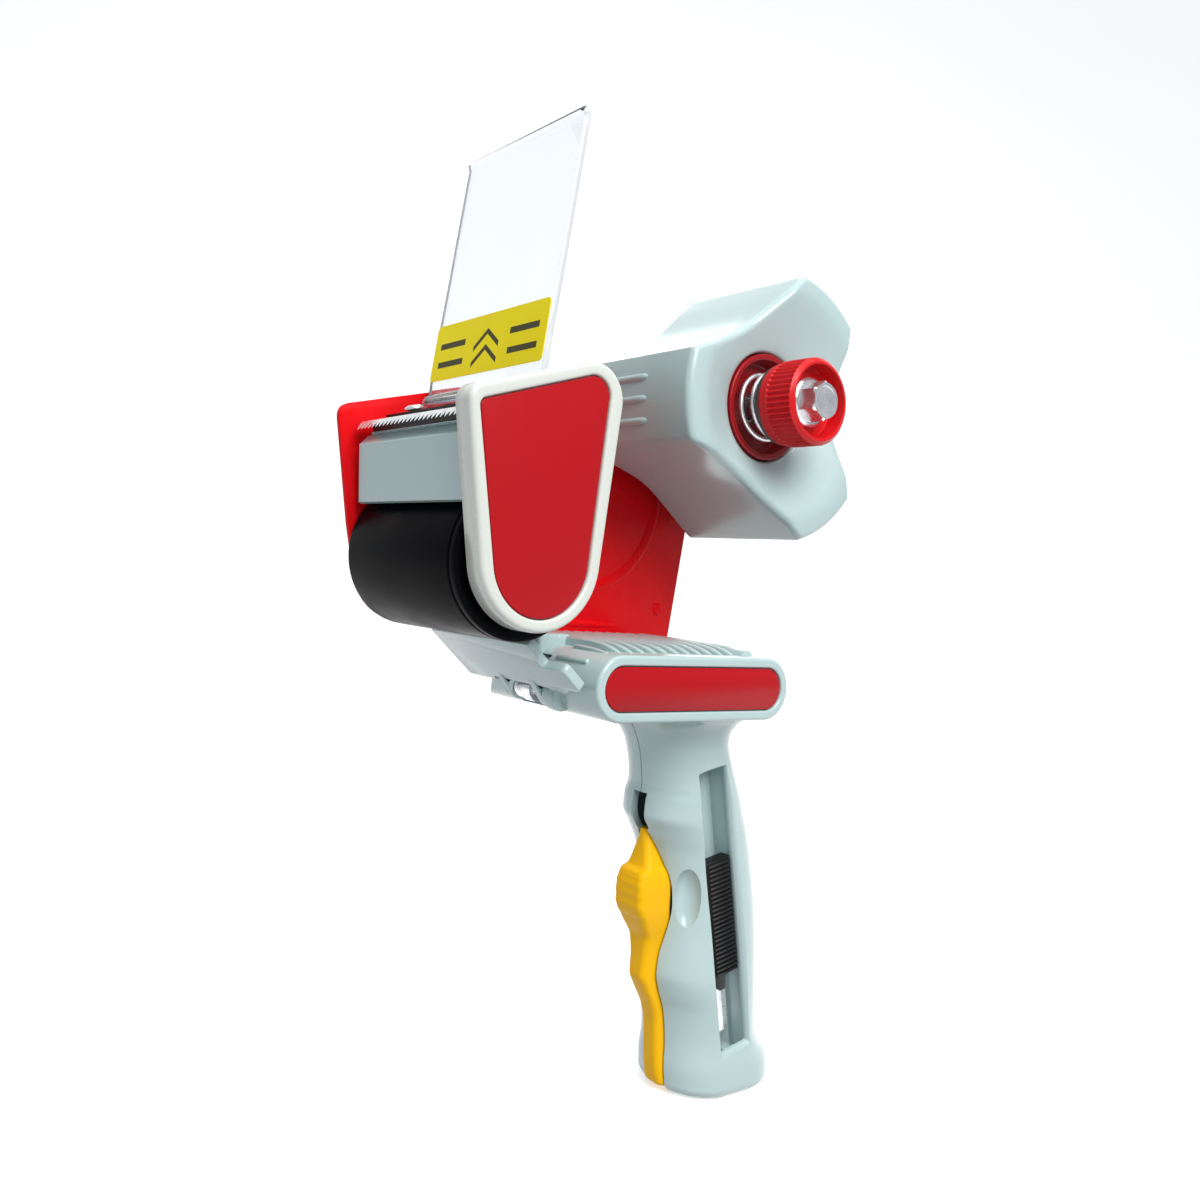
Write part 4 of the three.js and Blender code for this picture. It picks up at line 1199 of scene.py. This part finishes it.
def slot_cutter():
    """The knife's window in the near shell, with rounded corners and a rounded rim."""
    rings = []
    rim = ((9.0, 0), (11.5, 0), (12.6, 0.05), (13.3, 0.3), (13.9, 0.8), (14.4, 1.5), (18, 5.5))
    for x, grow in rim:
        a, b = 5.25 + grow, 41 + grow
        corners = [(-a, -b, 0.8), (a, -b, 0.8), (a, b, 0.8), (-a, b, 0.8)]
        rings.append([SLOT((x, *p)) for p in rounded(corners, 5)])
    return skinned("slot", rings)


def grip_shell(side):
    shell = grip_half(side)
    saddle = along_x("saddle", stadium(DECK["radius"] + GAP), -30, 30)
    above = block("above", -30, 30, -45, 12, DECK["z"], -70)
    cuts = [saddle, above, grip_hollow(side), trigger_room(), scoop(side)]
    if side > 0:
        cuts.append(block("channel", 6.2, 12.2, -5.6, 5.6, -45, 43, SLOT))
        cuts.append(slot_cutter())
        cuts.append(block("outlet", 6.2, 9, -5.2, 1.4, -70, -44, SLOT))
    else:
        cuts += [bar("head_room", 3.4, -30, -10.6, y, z, 40) for y, z in GRIP_SCREWS]
    shell = boolean(shell, cuts)
    if side < 0:
        shell = joined(shell, [block("seat", -13.5, -0.4, -2, 0.4, -155, -145)])
    shell.name = "grip_near" if side > 0 else "grip_far"
    return sharp(shell, 42)


place(grip_shell(1), "grey", "handle_near_shell")
place(grip_shell(-1), "grey", "handle_far_shell")


def build_trigger():
    """The trigger, with a rounded foot, fine grip ripples and a bulge behind its finger rest."""
    rings = []
    for z in heights(TRIGGER_FOOT, -124.5, 0.35):
        front, back, half = row_at(TRIGGER_ROWS, z)
        ease = min(1.0, (z + 198.6) / 1.6)
        tip = math.sqrt(max(0.05, 1 - (1 - ease) ** 2))
        ripple = 0.0
        if -150 < z < -138:
            ripple = 0.16 * (0.5 + 0.5 * math.cos((z + 144) * math.pi / 1.5))
        if -160 < z < -128:
            back += 1.2 * math.sin(math.pi * (z + 160) / 32)
        sizes = (front + ripple + (1 - tip) * 1.2, back - (1 - tip), half * (0.8 + 0.2 * tip))
        rings.append(section(z, *sizes, 2.0, 8))
    return skinned("squeeze_trigger", rings)


place(sharp(build_trigger(), 60), "yellow", "trigger")


# ---------------------------------------------------------------- knife
def build_slider():
    """The knife's thumb slide: ribbed across its face, with a pointed tongue at its lower end."""
    outline = [(-4.9, -20.4), (-4.9, 14.6), (4.9, 14.6), (4.9, -19), (-0.6, -19.6), (-1.2, -23.4)]
    outline.append((-3, -23.4))
    rings = []
    for x, by in ((9.3, 0.0), (12.3, 0.0), (12.5, 0.15), (12.6, 0.4)):
        rings.append([SLOT((x, a * (1 - by / 5), b * (1 - by / 20))) for a, b in outline])
    body = skinned("thumb_slide", rings)
    ribs = []
    for i in range(26):
        b = -18.4 + 1.28 * i
        rib = []
        for a, k in ((-4.5, 0.5), (-4.2, 1.0), (4.2, 1.0), (4.5, 0.5)):
            ring = [(12.5 + 0.88 * s * k, a, b + 0.45 * c) for c, s in arc(1, 6, span=180)]
            rib.append([SLOT(p) for p in (*ring, (12.2, a, b))])
        ribs.append(skinned("rib", rib))
    return joined(body, ribs)


place(sharp(build_slider(), 40), "black", "knife_slider")


# ---------------------------------------------------------------- springs and CAD nodes kept
spring = coil("trigger_return_spring", 2.7, 0.8, 11.4, 6, (-3.1, -8.6, -150), "Y")
place(spring, "wire", "trigger_spring")
spring = coil("flap_return_spring", 2.6, 0.6, 3.2, 3.5, (-4.7, FLAP["y"], FLAP["z"]))
place(spring, "wire", "flap_spring")

KEPT = {  # CAD nodes shown as they are: their look, and how far their edges are rounded
    "head_housing": ("grey", 0.7),
    "blade_holder": ("black", 0.4),
    "blade_clamp": ("black", 0.2),
    "back_washer": ("steel", 0.2),
    "friction_disc": ("black", 0.3),
    "hub_sleeve": ("steel", 0.2),
    "shield_pin": ("steel", 0.2),
    "flap_pin": ("steel", 0.2),
    "trigger_pin": ("steel", 0.2),
    "flap_pad": ("rubber", 0.15),
    "brake_lever": ("steel", 0.25),
    "brake_link": ("steel", 0.2),
    "knife_carrier": ("steel", 0.15),
    "knife_blade": ("blade", 0.08),
}
for name, (look, edge) in KEPT.items():
    node = NODES[name]
    node.data.materials.clear()
    node.data.materials.append(LOOKS[look])
    node.data.shade_smooth()
    weld = node.modifiers.new("weld", "WELD")
    weld.merge_threshold = 2e-6
    flat = node.modifiers.new("flat", "DECIMATE")
    flat.decimate_type = "DISSOLVE"
    flat.angle_limit = math.radians(0.5)
    soften(node, edge)


# ---------------------------------------------------------------- stage
def floor_look():
    look = Look("pale_floor")
    base = look.mix(look.span(look.noise(3, 2), 0, 1), (0.92, 0.92, 0.92), (0.94, 0.94, 0.94))
    look.link(base, "Base Color")
    look.set(Emission_Color=(1, 1, 1, 1), Emission_Strength=0.5)
    return look.material


def build_floor():
    """A floor that curves up into a backdrop far behind the object."""
    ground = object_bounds()[0].z - 0.0005
    front, back, bend, width, height = -2.56, 0.9, 0.5, 7, 2.4
    rows = [(front, ground)]
    rows += [(back + s, ground + bend - c) for c, s in arc(bend, 15)]
    rows.append((back + bend, ground + height))
    turn = Matrix.Rotation(math.radians(57.2), 3, "Z")
    verts = [
        turn @ Vector((across, depth, z)) for depth, z in rows for across in (-width / 2, width / 2)
    ]
    faces = [(2 * i, 2 * i + 1, 2 * i + 3, 2 * i + 2) for i in range(len(rows) - 1)]
    data = bpy.data.meshes.new("floor")
    data.from_pydata(verts, [], faces)
    data.shade_smooth()
    data.materials.append(floor_look())
    floor = bpy.data.objects.new("floor", data)
    bpy.context.scene.collection.objects.link(floor)
    floor.visible_diffuse = False


build_floor()


def area_light(name, location, size, power, color=(1, 1, 1)):
    """A square soft light that faces the object, and isn't seen through the guard."""
    data = bpy.data.lights.new(name, "AREA")
    data.shape = "RECTANGLE"
    data.size = data.size_y = size
    data.energy = power
    data.color = color
    light = bpy.data.objects.new(name, data)
    light.location = location
    way = Vector((0, -0.03, 0.08)) - Vector(location)
    light.rotation_mode = "QUATERNION"
    light.rotation_quaternion = way.to_track_quat("-Z", "Y")
    light.visible_transmission = False
    bpy.context.scene.collection.objects.link(light)
    return light


area_light("key", (0.75, -0.15, 0.7), 0.6, 10, (1.0, 0.99, 0.97))
area_light("fill", (-0.1, -1.0, 0.35), 0.9, 1.4, (0.96, 0.98, 1.0)).visible_glossy = False
area_light("top", (0.0, 0.1, 1.2), 1.2, 5.5)
area_light("rim", (-0.6, 0.7, 0.6), 0.7, 1.5)

world = bpy.data.worlds.new("studio")
world.use_nodes = True
background = world.node_tree.nodes["Background"]
background.inputs["Color"].default_value = (0.95, 0.97, 1.0, 1)
background.inputs["Strength"].default_value = 0.4
bpy.context.scene.world = world
bpy.context.scene.view_settings.view_transform = "Standard"

camera_data = bpy.data.cameras.new("camera")
camera_data.sensor_width = 36
camera_data.lens = 31.21
camera_data.shift_x = 0.130
camera_data.shift_y = -0.065
camera_data.clip_start = 0.01
camera_data.clip_end = 50
camera = bpy.data.objects.new("camera", camera_data)
right = Vector((0.5435, 0.8361, 0.0739))
forward = Vector((-0.8394, 0.5418, 0.0433)).normalized()
right = (right - forward * right.dot(forward)).normalized()
up = right.cross(forward)
turn = Matrix((right, up, -forward)).transposed()
camera.matrix_world = Matrix.Translation((0.22040, -0.23997, 0.09215)) @ turn.to_4x4()
bpy.context.scene.collection.objects.link(camera)
bpy.context.scene.camera = camera
